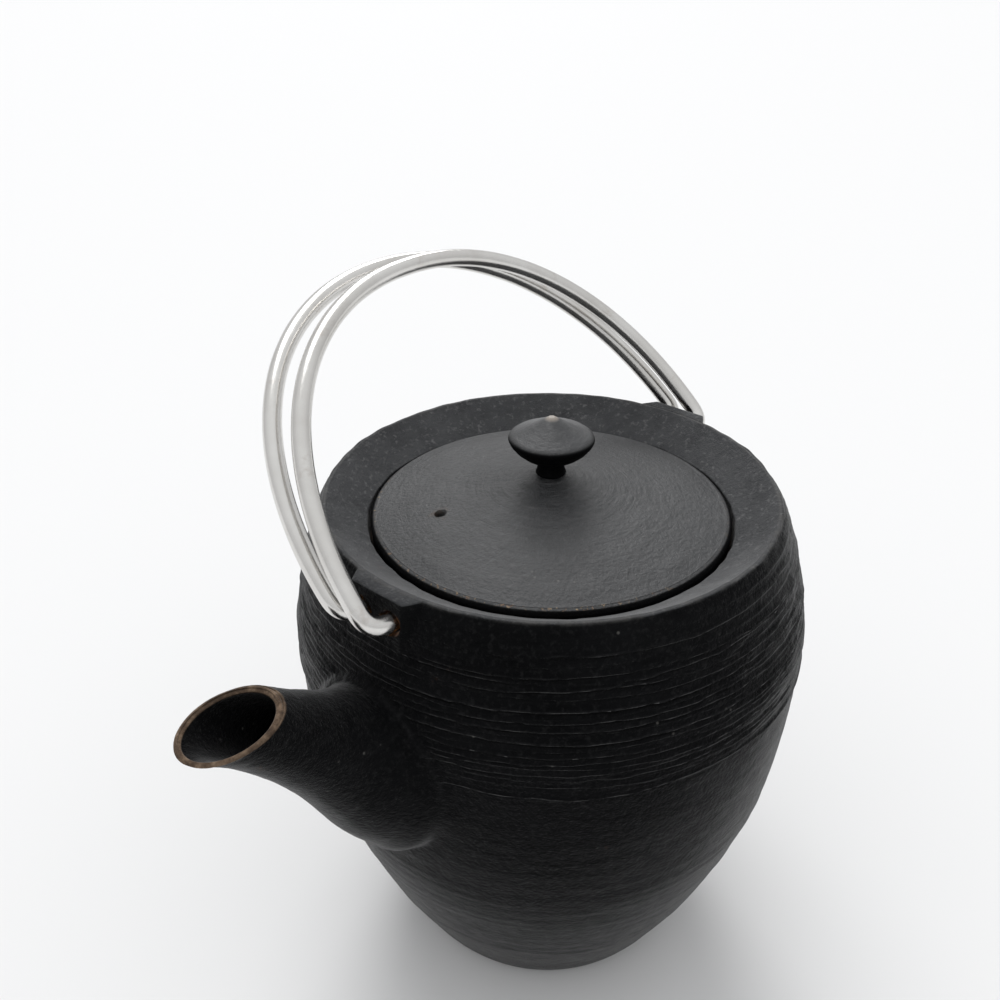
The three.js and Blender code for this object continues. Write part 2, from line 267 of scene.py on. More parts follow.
# ------------------------------------------------------------------ pot body
RIDGES = [  # height, how proud, half width, waviness
    (120.3, 0.12, 0.5, 0.20), (117.4, 0.30, 0.55, 0.22), (115.2, 0.16, 0.4, 0.22), (113.4, 0.34, 0.45, 0.2),
    (112.3, 0.46, 0.5, 0.2), (110.6, 0.50, 0.5, 0.22), (108.9, 0.34, 0.45, 0.2), (106.6, 0.66, 0.6, 0.22),
    (105.2, 0.20, 0.4, 0.2), (104.1, 0.44, 0.5, 0.22), (102.6, 0.46, 0.5, 0.22), (101.4, 0.18, 0.35, 0.2),
    (100.0, 0.62, 0.6, 0.25), (98.5, 0.26, 0.4, 0.2), (97.3, 0.36, 0.45, 0.22), (95.7, 0.34, 0.45, 0.25),
    (94.4, 0.30, 0.4, 0.22), (92.9, 0.28, 0.45, 0.22), (91.5, 0.42, 0.5, 0.25), (89.9, 0.16, 0.4, 0.22),
    (84.2, 0.05, 0.5, 0.3), (80.1, 0.05, 0.6, 0.4), (76.3, 0.04, 0.6, 0.4), (71.4, 0.06, 0.7, 0.4),
    (66.8, 0.05, 0.7, 0.4), (62.0, 0.05, 0.6, 0.4), (57.3, 0.08, 0.7, 0.4), (52.6, 0.16, 0.7, 0.4),
    (49.7, 0.12, 0.6, 0.4), (46.1, 0.08, 0.6, 0.4), (42.4, 0.07, 0.6, 0.4), (39.2, 0.14, 0.7, 0.4),
    (35.7, 0.07, 0.6, 0.4), (32.0, 0.08, 0.6, 0.4), (28.3, 0.06, 0.6, 0.4), (24.9, 0.08, 0.6, 0.4),
    (22.0, 0.14, 0.6, 0.4), (20.4, 0.10, 0.5, 0.4), (16.8, 0.06, 0.6, 0.4), (13.6, 0.08, 0.6, 0.4),
    (9.4, 0.06, 0.6, 0.3), (6.0, 0.05, 0.6, 0.3)]


def root_outline():
    """Where the spout's outside meets the barrel, as (arc length round the barrel, height)."""
    grid, _, _ = loft("probe", SPOUT, 160, 96)
    zs, rs = [b[0] for b in BARREL], [b[1] for b in BARREL]
    out = []
    for j in range(grid.shape[1]):
        p = grid[:, j]
        gap = np.hypot(p[:, 0], p[:, 1]) - smooth_curve(zs, rs, np.clip(p[:, 2], 0, 122.6))
        k = np.where((gap[:-1] < 0) & (gap[1:] >= 0))[0]
        if len(k):
            k = k[-1]
            t = -gap[k] / (gap[k + 1] - gap[k])
            q = p[k] + t * (p[k + 1] - p[k])
            out.append((math.atan2(q[1], q[0]) * 57.0, q[2]))
    return np.array(out)


ROOT = root_outline()
print("spout root", np.round(ROOT.min(0), 1), np.round(ROOT.max(0), 1))


def root_distance(T, Z):
    """Signed distance on the barrel from the spout's root line, negative inside it."""
    arc = (np.mod(T + math.pi, 2 * math.pi) - math.pi) * 57.0
    near = (np.abs(arc) < 32) & (Z > 45) & (Z < 114)
    out = np.full(T.shape, 99.0)
    p = np.stack([arc[near], Z[near]], -1)
    a, b = ROOT, np.roll(ROOT, -1, 0)
    best = np.full(len(p), 99.0)
    inside = np.zeros(len(p), bool)
    for i in range(len(a)):
        ab = b[i] - a[i]
        t = np.clip(((p - a[i]) @ ab) / max(ab @ ab, 1e-9), 0, 1)
        best = np.minimum(best, np.linalg.norm(p - a[i] - t[:, None] * ab, axis=1))
        cross = ((a[i, 1] > p[:, 1]) != (b[i, 1] > p[:, 1]))
        xs = (b[i, 0] - a[i, 0]) * (p[:, 1] - a[i, 1]) / (b[i, 1] - a[i, 1] + 1e-12) + a[i, 0]
        inside ^= cross & (p[:, 0] < xs)
    out[near] = np.where(inside, -best, best)
    return out


def ridge_field(T, Z):
    """The turned ridges at an angle and height: how proud, how much crest to paint paler (wear and painted highlight),
    and how much painted shade goes in the groove under the crest.
    """
    d, crest_wear_and_highlight, groove_shade = np.zeros_like(Z), np.zeros_like(Z), np.zeros_like(Z)
    for k, (z0, amp, half, wav) in enumerate(RIDGES):
        near = np.abs(Z - z0) < 5 * half + 1.2
        if not near.any():
            continue
        t, z = T[near], Z[near]
        w = wav * ring_noise(t, 2, 7, 100 + k) + 0.10 * ring_noise(t, 14, 44, 300 + k) + 0.05 * ring_noise(t, 50, 120, 350 + k)
        a = amp * (0.80 + 0.34 * ring_noise(t, 1, 7, 500 + k) + 0.22 * ring_noise(t, 12, 40, 700 + k))
        a = np.clip(a, 0, None)
        x = (z - z0 - w) / half
        d[near] += a * np.where(x < 0, np.exp(-(x / 0.42) ** 2), np.exp(-(np.abs(x) / 2.0) ** 1.4))
        crest_wear_and_highlight[near] += a / 0.5 * np.exp(-((x - 0.1) / 0.42) ** 2)
        groove_shade[near] += a / 0.5 * np.exp(-((x + 0.85) / 0.45) ** 2)
    return d, crest_wear_and_highlight, groove_shade


def pot_body():
    zs, rs = [b[0] for b in BARREL], [b[1] for b in BARREL]
    low = list(np.arange(1.6, 85.0, 0.9))
    step = list(np.arange(85.0, 89.4, 0.25))
    ridge = list(np.arange(89.4, 121.9, 0.225))
    wall = np.array(low + step + ridge)
    outer = [(0, 0.0), (12, 0.0), (24, 0.0), (31, 0.0), (33.1, 0.0), (33.5, 0.08), (33.85, 0.3), (34.25, 0.75)]
    outer += [(float(smooth_curve(zs, rs, z)), float(z)) for z in wall]
    rim = rounded([(51.35, 122.0), (RIM_R, POT_HEIGHT, 0.55), (50.1, POT_HEIGHT - 0.1, 0.4), (46.2, 119.9, 0),
                   (43.6, 118.15, 0), (41.45, 116.9, 0.4), (41.1, 114.6, 0), (40.95, 113.5, 0.25), (40.6, 113.3, 0.1),
                   (36.4, 113.3, 0.3), (36.2, 112.9, 0), (36.2, 111.0, 0.3), (37.2, 110.7, 0), (42, 110.2)], 0.3, 3)
    inner = [(44.8, 109.2), (47.4, 107.6), (50, 105.2), (51.9, 102.6), (53.2, 99)]
    inner += [(float(smooth_curve(zs, rs, z)) - 4, z) for z in (94.0, 88.0, 82, 76, 70, 64, 58, 52, 47, 42, 36, 31, 26, 21.5, 17)]
    inner += [(34.6, 11.0), (32.9, 8.6), (30.6, 7.0), (27.5, 5.8), (24, 5.1), (12, 4.85), (0, 4.8)]
    profile = outer + rim + inner
    n_outer = len(outer)

    # columns: close together at the two lugs' edges
    def columns():
        t, out = 0.0, []
        while t < 2 * math.pi - 1e-6:
            out.append(t)
            d = abs((math.degrees(t) + 90) % 180 - 90)
            fine = 5.5 < d < 12.5
            t += math.radians(0.36 if fine else 1.2)
        return np.array(out)

    th = columns()
    prof = np.array(profile)
    body = prof[1:-1]
    T = np.repeat(th[None], len(body), 0)
    R = np.repeat(body[:, :1], len(th), 1)
    Z = np.repeat(body[:, 1:], len(th), 1)
    R0 = R.copy()
    outside = np.zeros(len(body), bool)
    outside[: n_outer - 1] = True
    outside = outside[:, None] & (R0 > 34.3)
    toprow = (np.arange(len(body)) >= n_outer - 1)[:, None] & (Z > 116.5)

    near_root = root_distance(T, Z)
    keep = step01(near_root, 0.4, 3.0)  # the turned ridges die out on the spout's root
    d, _, _ = ridge_field(T, Z)
    # the shelf where the upper belt ends
    lip = 87.0 + 0.35 * ring_noise(T, 2, 8, 41) + 0.12 * ring_noise(T, 12, 30, 42)
    d += 0.42 * step01(Z, lip - 0.28, lip + 0.28) * (1 - 0.75 * step01(Z, lip + 0.4, lip + 4.5)) * step01(124 - Z, 0, 30)
    d += 0.2 * np.exp(-((Z - lip - 0.35) / 0.4) ** 2)
    # hand-made unevenness
    arc = T * 57
    upper = step01(Z, 84, 90)
    cells = lambda size: int(round(2 * math.pi * 57 / size))
    turn = T / (2 * math.pi)
    d += (0.02 + 0.05 * upper) * lattice_noise(turn * cells(6.0), Z / 0.62, 5, wrap=cells(6.0))
    d += (0.02 + 0.05 * upper) * lattice_noise(turn * cells(14.0), Z / 0.9, 6, wrap=cells(14.0))
    d += 0.07 * lattice_noise(turn * cells(24.0), Z / 9.0, 7, wrap=cells(24.0))
    d += (0.015 + 0.045 * upper) * lattice_noise(turn * cells(1.7), Z / 0.8, 4, wrap=cells(1.7))
    pits = lattice_noise(turn * cells(1.7), Z / 0.8, 8, wrap=cells(1.7))
    d -= 0.16 * upper * step01(pits, 0.6, 0.92)
    d *= keep
    d *= step01(Z, 1.2, 4.0)
    # the raised edge of the spout's root, fading out below
    edge = step01(Z, 66, 84)
    bead = np.exp(-(np.clip(near_root - 0.5, 0, 90) / 0.75) ** 2) * (near_root > -3)
    d += (0.02 + 1.2 * edge) * bead * (1 + 0.18 * lattice_noise(arc / 1.4, Z / 1.4, 9))
    d += (0.10 + 0.25 * edge) * np.exp(-np.clip(near_root, 0, 50) / 2.4) * (near_root < 40)
    # a little uneven rim
    R = R + np.where(outside, d * step01(POT_HEIGHT + 0.2 - Z, 0.0, 1.4), 0)
    nick = 0.10 * ring_noise(T, 5, 16, 61) + 0.07 * ring_noise(T, 24, 60, 62)
    rim_edge = np.exp(-((R0 - RIM_R) / 1.1) ** 2) * (Z > 121.2)
    R = R + rim_edge * nick
    Z = Z + rim_edge * (0.06 * ring_noise(T, 3, 9, 63) + 0.05 * ring_noise(T, 20, 50, 64))
    edge2 = np.exp(-((R0 - 41.4) / 0.7) ** 2) * (Z > 115.8)
    R = R + edge2 * (0.10 * ring_noise(T, 6, 20, 65) + 0.06 * ring_noise(T, 24, 60, 66))
    Z = Z + np.where(toprow & (R0 > 42) & (R0 < 50), 0.06 * lattice_noise(arc / 4, R0 / 3, 67, wrap=89), 0)

    # lugs: a flat upright face at each end of the hinge line
    for sign in (1, -1):
        c, s = np.cos(T) * sign, np.sin(T)
        facing = c > 0.8
        t = np.clip((Z - LUG_LOW_Z) / (POT_HEIGHT - 0.6 - LUG_LOW_Z), 0, 1)
        face = LUG_FACE_LOW + (LUG_FACE_TOP - LUG_FACE_LOW) * t
        face = face - 0.35 * step01(Z, POT_HEIGHT - 0.35, POT_HEIGHT + 0.05)
        rf = face / np.maximum(c, 0.5)
        half = LUG_HALF + 0.12 * lattice_noise(Z / 2.3, Z * 0 + sign * 7.5, 71)
        y = np.abs(R0 * s)
        root = math.hypot(LUG_ROOT_X, LUG_ROOT_HALF)
        ang = np.abs(np.arctan2(s, c))
        a_face = np.arctan2(half, LUG_FACE_TOP)
        a_root = math.atan2(LUG_ROOT_HALF, LUG_ROOT_X)
        flank = rf + (root - 0.4 - rf) * np.clip((ang - a_face) / (a_root - a_face), 0, 1.2)
        want = np.where(ang < a_face, rf, flank)
        on = facing & (Z > LUG_LOW_Z) & (outside | (R0 > 50.3))
        top = on & ~outside
        bump = 0.05 * lattice_noise(arc / 1.2, Z / 1.1, 72)
        R = np.where(on & outside & (want > R), want + bump, R)
        # carry the rim's edge out to the lug's face
        far = np.clip((R0 - 49.6) / (RIM_R - 49.6), 0, 1)
        R = np.where(top & (want > R) & (Z > 121), R + (want - R) * far, R)
    grid = np.stack([R * np.cos(T), R * np.sin(T), Z], -1)
    o = closed_grid("pot_body_cast", grid, (0, 0, prof[0, 1]), (0, 0, prof[-1, 1]))

    # spout, rounded at its lip
    def lip_rows(rows):
        n = 6
        last = rows[-1]
        mid = np.array([(last[0] + last[2]) / 2, (last[1] + last[3]) / 2])
        extra = []
        for i in range(1, n + 1):
            a = i / n * math.pi / 2
            inset, up = 0.62 * (1 - math.cos(a)), 0.5 * math.sin(a)
            top = np.array([last[0], last[1]]); bot = np.array([last[2], last[3]])
            ut = (mid - top) / np.linalg.norm(mid - top)
            top2, bot2 = top + ut * inset, bot - ut * inset
            extra.append([top2[0], top2[1] + up - 0.45, bot2[0], bot2[1] + up - 0.45, last[4] - inset])
        rows = rows.copy()
        rows[-1, 1] -= 0.45
        rows[-1, 3] -= 0.45
        return np.vstack([rows, extra])

    grid, a, b = loft("spout", SPOUT, 78, 72, lip_rows)
    # slight hand-made waver and faint turning lines on the tube
    cols = np.arange(72) / 72 * 2 * math.pi
    t = np.linspace(0, 1, grid.shape[0])[:, None]
    centre = grid.mean(1, keepdims=True)
    out = grid - centre
    ln = np.linalg.norm(out, axis=2, keepdims=True)
    w = (0.05 * lattice_noise(cols[None] / 0.42 + t * 0, t * 22, 81, wrap=15)
         + 0.035 * lattice_noise(cols[None] / 0.18 + t * 0, t * 60, 82, wrap=35)) * (t > 0.2) * (t < 0.97)
    grid = centre + out * (1 + w[..., None] / ln)
    spout = closed_grid("spout_tube", grid, a, b)
    boolean(o, spout, "UNION")

    def bore_rows(rows):
        last = rows[-1]
        mid = np.array([(last[0] + last[2]) / 2, (last[1] + last[3]) / 2])
        rows = rows.copy()
        rows[-1, 1] -= 0.45
        rows[-1, 3] -= 0.45
        extra = []
        for i in range(1, 6):
            a = i / 5 * math.pi / 2
            grow, up = 0.6 * (1 - math.cos(a)), 0.5 * math.sin(a)
            top = np.array([last[0], last[1]]); bot = np.array([last[2], last[3]])
            ut = (mid - top) / np.linalg.norm(mid - top)
            extra.append([top[0] - ut[0] * grow, top[1] - ut[1] * grow + up - 0.45,
                          bot[0] + ut[0] * grow, bot[1] + ut[1] * grow + up - 0.45, last[4] + grow])
        z = extra[-1]
        extra.append([z[0] + 0.2, z[1] + 4, z[2] + 0.2, z[3] + 4, z[4]])
        return np.vstack([rows, extra])

    grid, a, b = loft("bore", BORE, 50, 48, bore_rows)
    bore = closed_grid("bore_cut", grid, a, b)
    boolean(o, bore, "DIFFERENCE")

    for sx in (1, -1):
        for sy in (1, -1):
            hole = hole_cutter(sx, sy)
            boolean(o, hole, "DIFFERENCE")
    relax_root(o)
    smooth(o, 38)
    mark_crest_highlight_and_groove_shade(o)
    return o


def mark_crest_highlight_and_groove_shade(o):
    """Stores on each vertex how much its ridge's crest is painted paler, partly as wear and partly as painted
    highlight, and how much painted shade goes into its groove.
    """
    me = o.data
    n = len(me.vertices)
    co = np.empty(n * 3, dtype=np.float32)
    me.vertices.foreach_get("co", co)
    co = co.reshape(-1, 3).astype(float) * 1000
    r = np.hypot(co[:, 0], co[:, 1])
    th = np.mod(np.arctan2(co[:, 1], co[:, 0]), 2 * math.pi)
    z = co[:, 2]
    br = smooth_curve([b[0] for b in BARREL], [b[1] for b in BARREL], np.clip(z, 0, 122.6))
    root = root_distance(th, z)
    on = (r > br - 0.6) * (r < br + 2.6) * (z < 122.3) * step01(root, 0.5, 3.0)
    _, crest_wear_and_highlight, groove_shade = ridge_field(th, z)
    # the raised edge of the spout's root is painted paler along with the crests, as painted highlight
    bead = np.exp(-((root - 0.7) / 0.7) ** 2) * step01(z, 70, 84) * (r > br - 0.6) * (r < br + 3.0)
    for key, value in (("crest_wear_and_highlight", crest_wear_and_highlight * on + 0.55 * bead), ("groove_shade", groove_shade * on)):
        at = me.attributes.new(key, "FLOAT", "POINT")
        at.data.foreach_set("value", np.clip(value, 0, 1.5).astype(np.float32))


def hole_cutter(sx, sy):
    """A blind hole with a worn mouth, along X."""
    a = np.arange(28) / 28 * 2 * math.pi
    rows = []
    for x, r in [(49.7, 2.3), (49.75, 2.4), (53.4, 2.4), (53.75, 2.45), (54.1, 2.62), (54.5, 2.9), (58, 3.2)]:
        wob = 1 + 0.02 * np.sin(3 * a + sx) + 0.02 * np.sin(5 * a + sy)
        rows.append(np.stack([np.full_like(a, sx * x), sy * HINGE_Y + r * wob * np.cos(a), HINGE_Z + r * wob * np.sin(a)], -1))
    g = np.array(rows)
    return closed_grid("hole", g, (sx * 49.7, sy * HINGE_Y, HINGE_Z), (sx * 58, sy * HINGE_Y, HINGE_Z))


def relax_root(o):
    """Rounds the crease where the spout leaves the barrel."""
    me = o.data
    n = len(me.vertices)
    co = np.empty(n * 3, dtype=np.float32)
    me.vertices.foreach_get("co", co)
    co = co.reshape(-1, 3).astype(float) * 1000
    e = np.empty(len(me.edges) * 2, dtype=np.int32)
    me.edges.foreach_get("vertices", e)
    e = e.reshape(-1, 2)
    r = np.hypot(co[:, 0], co[:, 1])
    th = np.arctan2(co[:, 1], co[:, 0])
    dist = np.abs(root_distance(th, co[:, 2]))
    br = smooth_curve([b[0] for b in BARREL], [b[1] for b in BARREL], np.clip(co[:, 2], 0, 122.6))
    w = (1 - step01(dist, 0.5, 2.2)) * (r > br - 1.5) * (r < br + 4.0)
    deg = np.bincount(e.ravel(), minlength=n).astype(float)
    for _ in range(9):
        acc = np.zeros((n, 3))
        np.add.at(acc, e[:, 0], co[e[:, 1]])
        np.add.at(acc, e[:, 1], co[e[:, 0]])
        mean = acc / np.maximum(deg, 1)[:, None]
        co = co + (mean - co) * (0.5 * w)[:, None]
    me.vertices.foreach_set("co", (co / 1000).astype(np.float32).ravel())
    me.update()


# ------------------------------------------------------------------ handle rods
def rod_line():
    """Centre line of a rod as (x, height above the hinge line), evenly spaced along it."""
    half = [(PIN_END_X, 0.0), (53.0, 0.0), (ARCH_HALF - HOOK_R, 0.0)]
    for i in range(1, 13):
        a = i / 12 * math.pi / 2 * 0.93
        half.append((ARCH_HALF - HOOK_R + HOOK_R * math.sin(a), HOOK_R * (1 - math.cos(a))))
    e = 2 / ARCH_P
    for i in range(1, 121):
        a = i / 120 * math.pi / 2
        h = ARCH_H * math.sin(a) ** e
        if h < HOOK_R + 1.2:
            continue
        half.append((ARCH_HALF * math.cos(a) ** e if i < 120 else 0.0, h))
    line = half + [(-x, h) for x, h in half[-2::-1]]
    p = np.array(line)
    d = np.concatenate([[0], np.cumsum(np.linalg.norm(np.diff(p, axis=0), axis=1))])
    s = np.linspace(0, d[-1], 260)
    q = np.stack([np.interp(s, d, p[:, 0]), np.interp(s, d, p[:, 1])], 1)
    for _ in range(4):  # even out the joins
        q[1:-1] = q[1:-1] * 0.5 + (q[:-2] + q[2:]) * 0.25
    return q


def rod(name, side):
    y0 = HINGE_Y if side == "left" else -HINGE_Y
    lean = math.radians(LEAN[side])
    q = rod_line()
    n = len(q)
    tan = np.gradient(q, axis=0)
    tan /= np.linalg.norm(tan, axis=1, keepdims=True)
    nor = np.stack([-tan[:, 1], tan[:, 0]], 1)
    a = np.arange(32) / 32 * 2 * math.pi
    s = np.linspace(0, 1, n)[:, None]
    wob = 1 + 0.006 * lattice_noise(a[None] / 0.8 + s * 0, s * 40, 91 if side == "left" else 92)
    r = ROD_R * wob
    inset = 0.35
    grid = np.empty((n, 32, 3))
    grid[..., 0] = q[:, :1] + nor[:, :1] * r * np.cos(a)
    grid[..., 1] = r * np.sin(a)
    grid[..., 2] = q[:, 1:] + nor[:, 1:] * r * np.cos(a)
    # rounded ends
    caps0, caps1 = [], []
    for k in range(4):
        u = math.sin((k + 1) / 5 * math.pi / 2)
        shrink = math.sqrt(max(0, 1 - (1 - u) ** 2))
    base0, base1 = grid[0].copy(), grid[-1].copy()
    mid0, mid1 = base0.mean(0), base1.mean(0)
    for k, (ins, f) in enumerate([(0.55, 0.72), (0.2, 0.9)]):
        pass
    first = [mid0 + (base0 - mid0) * f + np.array([dx, 0, 0]) for dx, f in ((-0.0, 0.62), (0.06, 0.84), (0.25, 0.96))]
    last = [mid1 + (base1 - mid1) * f + np.array([-dx, 0, 0]) for dx, f in ((0.25, 0.96), (0.06, 0.84), (-0.0, 0.62))]
    grid[0] += np.array([0.55, 0, 0])
    grid[-1] -= np.array([0.55, 0, 0])
    grid = np.concatenate([np.array(first), grid, np.array(last)], 0)
    c, sn = math.cos(lean), math.sin(lean)
    y, z = grid[..., 1].copy(), grid[..., 2].copy()
    grid[..., 1] = y0 + c * y - sn * z
    grid[..., 2] = HINGE_Z + sn * y + c * z
    m0, m1 = grid[0].mean(0), grid[-1].mean(0)
    length = 260.0
    u = np.repeat(np.linspace(0, length, grid.shape[0])[:, None], 32, 1)
    v = np.repeat((np.arange(32) / 32 * 12.566)[None], grid.shape[0], 0)
    uv = np.concatenate([np.stack([u, v], -1).reshape(-1, 2), [[0, 0], [length, 0]]])
    o = closed_grid(name, grid, m0, m1, uv)
    smooth(o, 40)
    return o


# ------------------------------------------------------------------ lid
def lid_plate():
    top = [(2.75, 126.32), (3.6, 126.34), (5, 126.0), (7, 125.45), (9, 124.9), (11.5, 124.2), (14, 123.6), (17, 122.95),
           (20, 122.3), (23.5, 121.65), (27, 121.0), (30, 120.35), (33, 119.65), (35.5, 119.05), (37.5, 118.5), (39.2, 118.05)]
    zs = [p[0] for p in top]
    ys = [p[1] for p in top]
    radii = np.concatenate([[2.6], np.arange(2.9, 39.4, 0.38)])
    surface = [(float(r), float(smooth_curve(zs, ys, min(max(r, zs[0]), zs[-1])))) for r in radii]
    edge = rounded([(39.4, 117.98), (40.35, 117.62, 0.5), (40.72, 116.9, 0.4), (40.62, 114.75, 0.25), (40.3, 114.5, 0.2),
                    (36.6, 114.5, 0.3), (35.6, 115.6), (35, 116)], 0.3, 3)
    under = [(28, 117.5), (18, 119.5), (9, 122.1), (5, 123.0), (2.6, 123.4)]
    profile = surface + edge + under
    n = len(surface)

    def edit(R, Z, T):
        arc = T * 30
        top_rows = (np.arange(len(R)) < n)[:, None] & (R > 4)
        turn = T / (2 * math.pi)
        lines = 0.06 * lattice_noise(turn * 7, R / 1.05, 211, wrap=7) + 0.035 * lattice_noise(turn * 16, R / 0.85, 216, wrap=16)
        swell = 0.16 * lattice_noise(turn * 22, R / 6, 212, wrap=22) + 0.05 * lattice_noise(turn * 70, R / 2.4, 217, wrap=70)
        worn = step01(lattice_noise(turn * 9, R / 8, 213, wrap=9), -0.5, 0.6)
        near_knob = 0.25 + 1.7 * (1 - step01(R, 10, 24))
        Z = Z + np.where(top_rows, (lines * worn * near_knob + swell * step01(R, 5, 12)) * step01(39.2 - R, 0, 3.5), 0)
        rim = np.exp(-((R - 40.6) / 0.7) ** 2)
        R = R + rim * (0.05 * ring_noise(T, 5, 18, 214) + 0.03 * ring_noise(T, 24, 50, 215) - 0.05)
        return R, Z

    o = lathe("lid_plate_cast", profile, 240, edit)
    a = np.arange(24) / 24 * 2 * math.pi
    rows = []
    for z, r in [(110, 1.1), (120.4, 1.1), (120.8, 1.2), (121.2, 1.42), (121.6, 1.8), (123, 2.4), (126, 2.4)]:
        wob = 1 + 0.03 * np.sin(2 * a + 1) + 0.03 * np.sin(5 * a)
        rows.append(np.stack([22.5 + r * wob * np.cos(a), -13 + r * wob * np.sin(a), np.full_like(a, z)], -1))
    hole = closed_grid("steam", np.array(rows), (22.5, -13, 110), (22.5, -13, 126))
    boolean(o, hole, "DIFFERENCE")
    smooth(o, 38)
    return o


def lid_knob():
    pts = [(0, 121.6), (3.2, 121.65, 0.3), (4.1, 122.2, 0.4), (3.9, 122.7, 0.2), (2.3, 122.9, 0.2), (2.3, 126.7, 0.1),
           (3.5, 126.75, 0.3), (3.15, 127.5, 0.5), (2.95, 128.6, 0.8), (3.05, 129.6, 0.8), (3.5, 130.25, 0.6),
           (4.9, 130.75, 1.2), (6.6, 131.55, 1.5), (8.1, 132.8, 1.5), (9.1, 134.1, 1.2), (9.55, 135.1, 0.9),
           (9.25, 135.75, 0.5), (8, 136.35, 1), (6, 137.25, 1), (4, 138.35, 1), (2.4, 139.3, 1),
           (1.2, 139.95, 0.5), (0.75, 140.3, 0.3), (0, 140.45)]
    prof = rounded(pts, 0.5, 5)

    def edit(R, Z, T):
        up = step01(Z, 129, 134)
        R = R + up * step01(R, 1.0, 4.0) * (0.07 * ring_noise(T, 1, 4, 230) + 0.03 * ring_noise(T, 5, 12, 231))
        Z = Z + up * 0.05 * ring_noise(T, 1, 3, 232) * step01(R, 2, 8)
        # faint turned facets on the cone
        Z = Z + 0.02 * np.sin(R * 4.2) * (Z > 136) * step01(R, 1.5, 3)
        return R, Z

    o = lathe("lid_knob_cast", prof, 96, edit)
    # the real casting's knob sits a hair off the lid's axis; here it stays on the axis
    smooth(o, 40)
    return o


# ------------------------------------------------------------------ infuser
RING_OUT, RING_IN, RING_Z, RING_T = 38.4, 33.95, 113.6, 0.6
MESH_R, MESH_TOP, FOLD_TOP, MESH_LOW = 34.8, 112.6, 108.7, 68.0
FOLD_ANGLES = (2, 122, 242)


def infuser_ring():
    # pressed sheet: a flat flange, a small inner roll and a short collar
    outer = [(RING_IN - 0.5, 109.4), (RING_IN - 0.05, 109.4, 0.1), (RING_IN, 109.8, 0.1), (RING_IN, 113.1, 0.35),
             (RING_IN + 0.45, 113.62, 0.3), (37.6, RING_Z + 0.02, 0.2), (38.1, RING_Z - 0.0, 0.15), (RING_OUT, 113.72, 0.12),
             (RING_OUT, 114.05, 0.12), (38.1, 114.2, 0.15), (37.4, 114.17, 0.3), (35.6, 114.12, 0.4),
             (34.6, 114.1, 0.4), (33.85, 113.75, 0.5), (RING_IN - 0.5, 113.1, 0.3), (RING_IN - 0.52, 111, 0), (RING_IN - 0.5, 109.4)]
    prof = rounded(outer, 0.15, 4)[:-1]

    def edit(R, Z, T):
        Z = Z + 0.025 * ring_noise(T, 2, 7, 240) * step01(R, 34.5, 36)
        return R, Z

    o = lathe("infuser_ring_pressed", prof, 200, edit)
    smooth(o, 40)
    return o


def basket_surface(inset, rows, half=22, back=6):
    """The folded basket as rings of points from its top down."""
    V = np.linspace(0, 1, rows)
    pocket = ([0, 0.06, 0.2, 0.45, 0.7, 0.85, 1], [8.2, 7.2, 6.2, 5.0, 3.5, 2.3, 0.85])
    dent = ([0, 0.05, 0.12, 0.25, 0.4, 0.55, 0.7, 0.85, 1], [34.8, 32.4, 28.0, 21.4, 15.4, 10.7, 7.0, 3.9, 1.0])
    around = half * 6
    third = 2 * math.pi / 3
    k = np.arange(around)
    arm = np.round(k / (2 * half)).astype(int) % 3
    frm = k - np.round(k / (2 * half)).astype(int) * 2 * half
    n = np.abs(frm)
    out = []
    for v in V:
        z = FOLD_TOP + (MESH_LOW - FOLD_TOP) * v
        radius = MESH_R - inset + (33.2 - MESH_R) * v
        w = float(smooth_curve(*pocket, v)) - inset
        dr = max(min(float(smooth_curve(*dent, v)), MESH_R) - inset, w / math.sin(third / 2))
        turn = math.asin(w / radius)
        p0 = np.array([radius * math.cos(turn), w])
        p1 = np.array([dr * math.cos(third / 2), dr * math.sin(third / 2)])
        mid = (turn + third / 2) / 2
        rc = radius / math.cos((third / 2 - turn) / 2)
        rnd = np.array([rc * math.cos(mid), rc * math.sin(mid)])
        bent = np.array([min((dr - w * math.sin(third / 2)) / math.cos(third / 2), p0[0] * 0.97), w])
        s = float(step01(np.array((radius - dr) / (radius * 0.35)), 0, 1))
        q = rnd + (bent - rnd) * s
        t = np.clip((n - back) / (half - back), 0, 1)
        lx = (1 - t) ** 2 * p0[0] + 2 * t * (1 - t) * q[0] + t * t * p1[0]
        ly = (1 - t) ** 2 * p0[1] + 2 * t * (1 - t) * q[1] + t * t * p1[1]
        a = turn * n / back
        flat = n <= back
        lx = np.where(flat, radius * np.cos(a), lx)
        ly = np.where(flat, radius * np.sin(a), ly)
        ly = np.where(frm < 0, -ly, ly)
        ang = np.radians(np.array(FOLD_ANGLES))[arm]
        out.append(np.stack([lx * np.cos(ang) - ly * np.sin(ang), lx * np.sin(ang) + ly * np.cos(ang), np.full(around, z)], -1))
    return np.array(out)


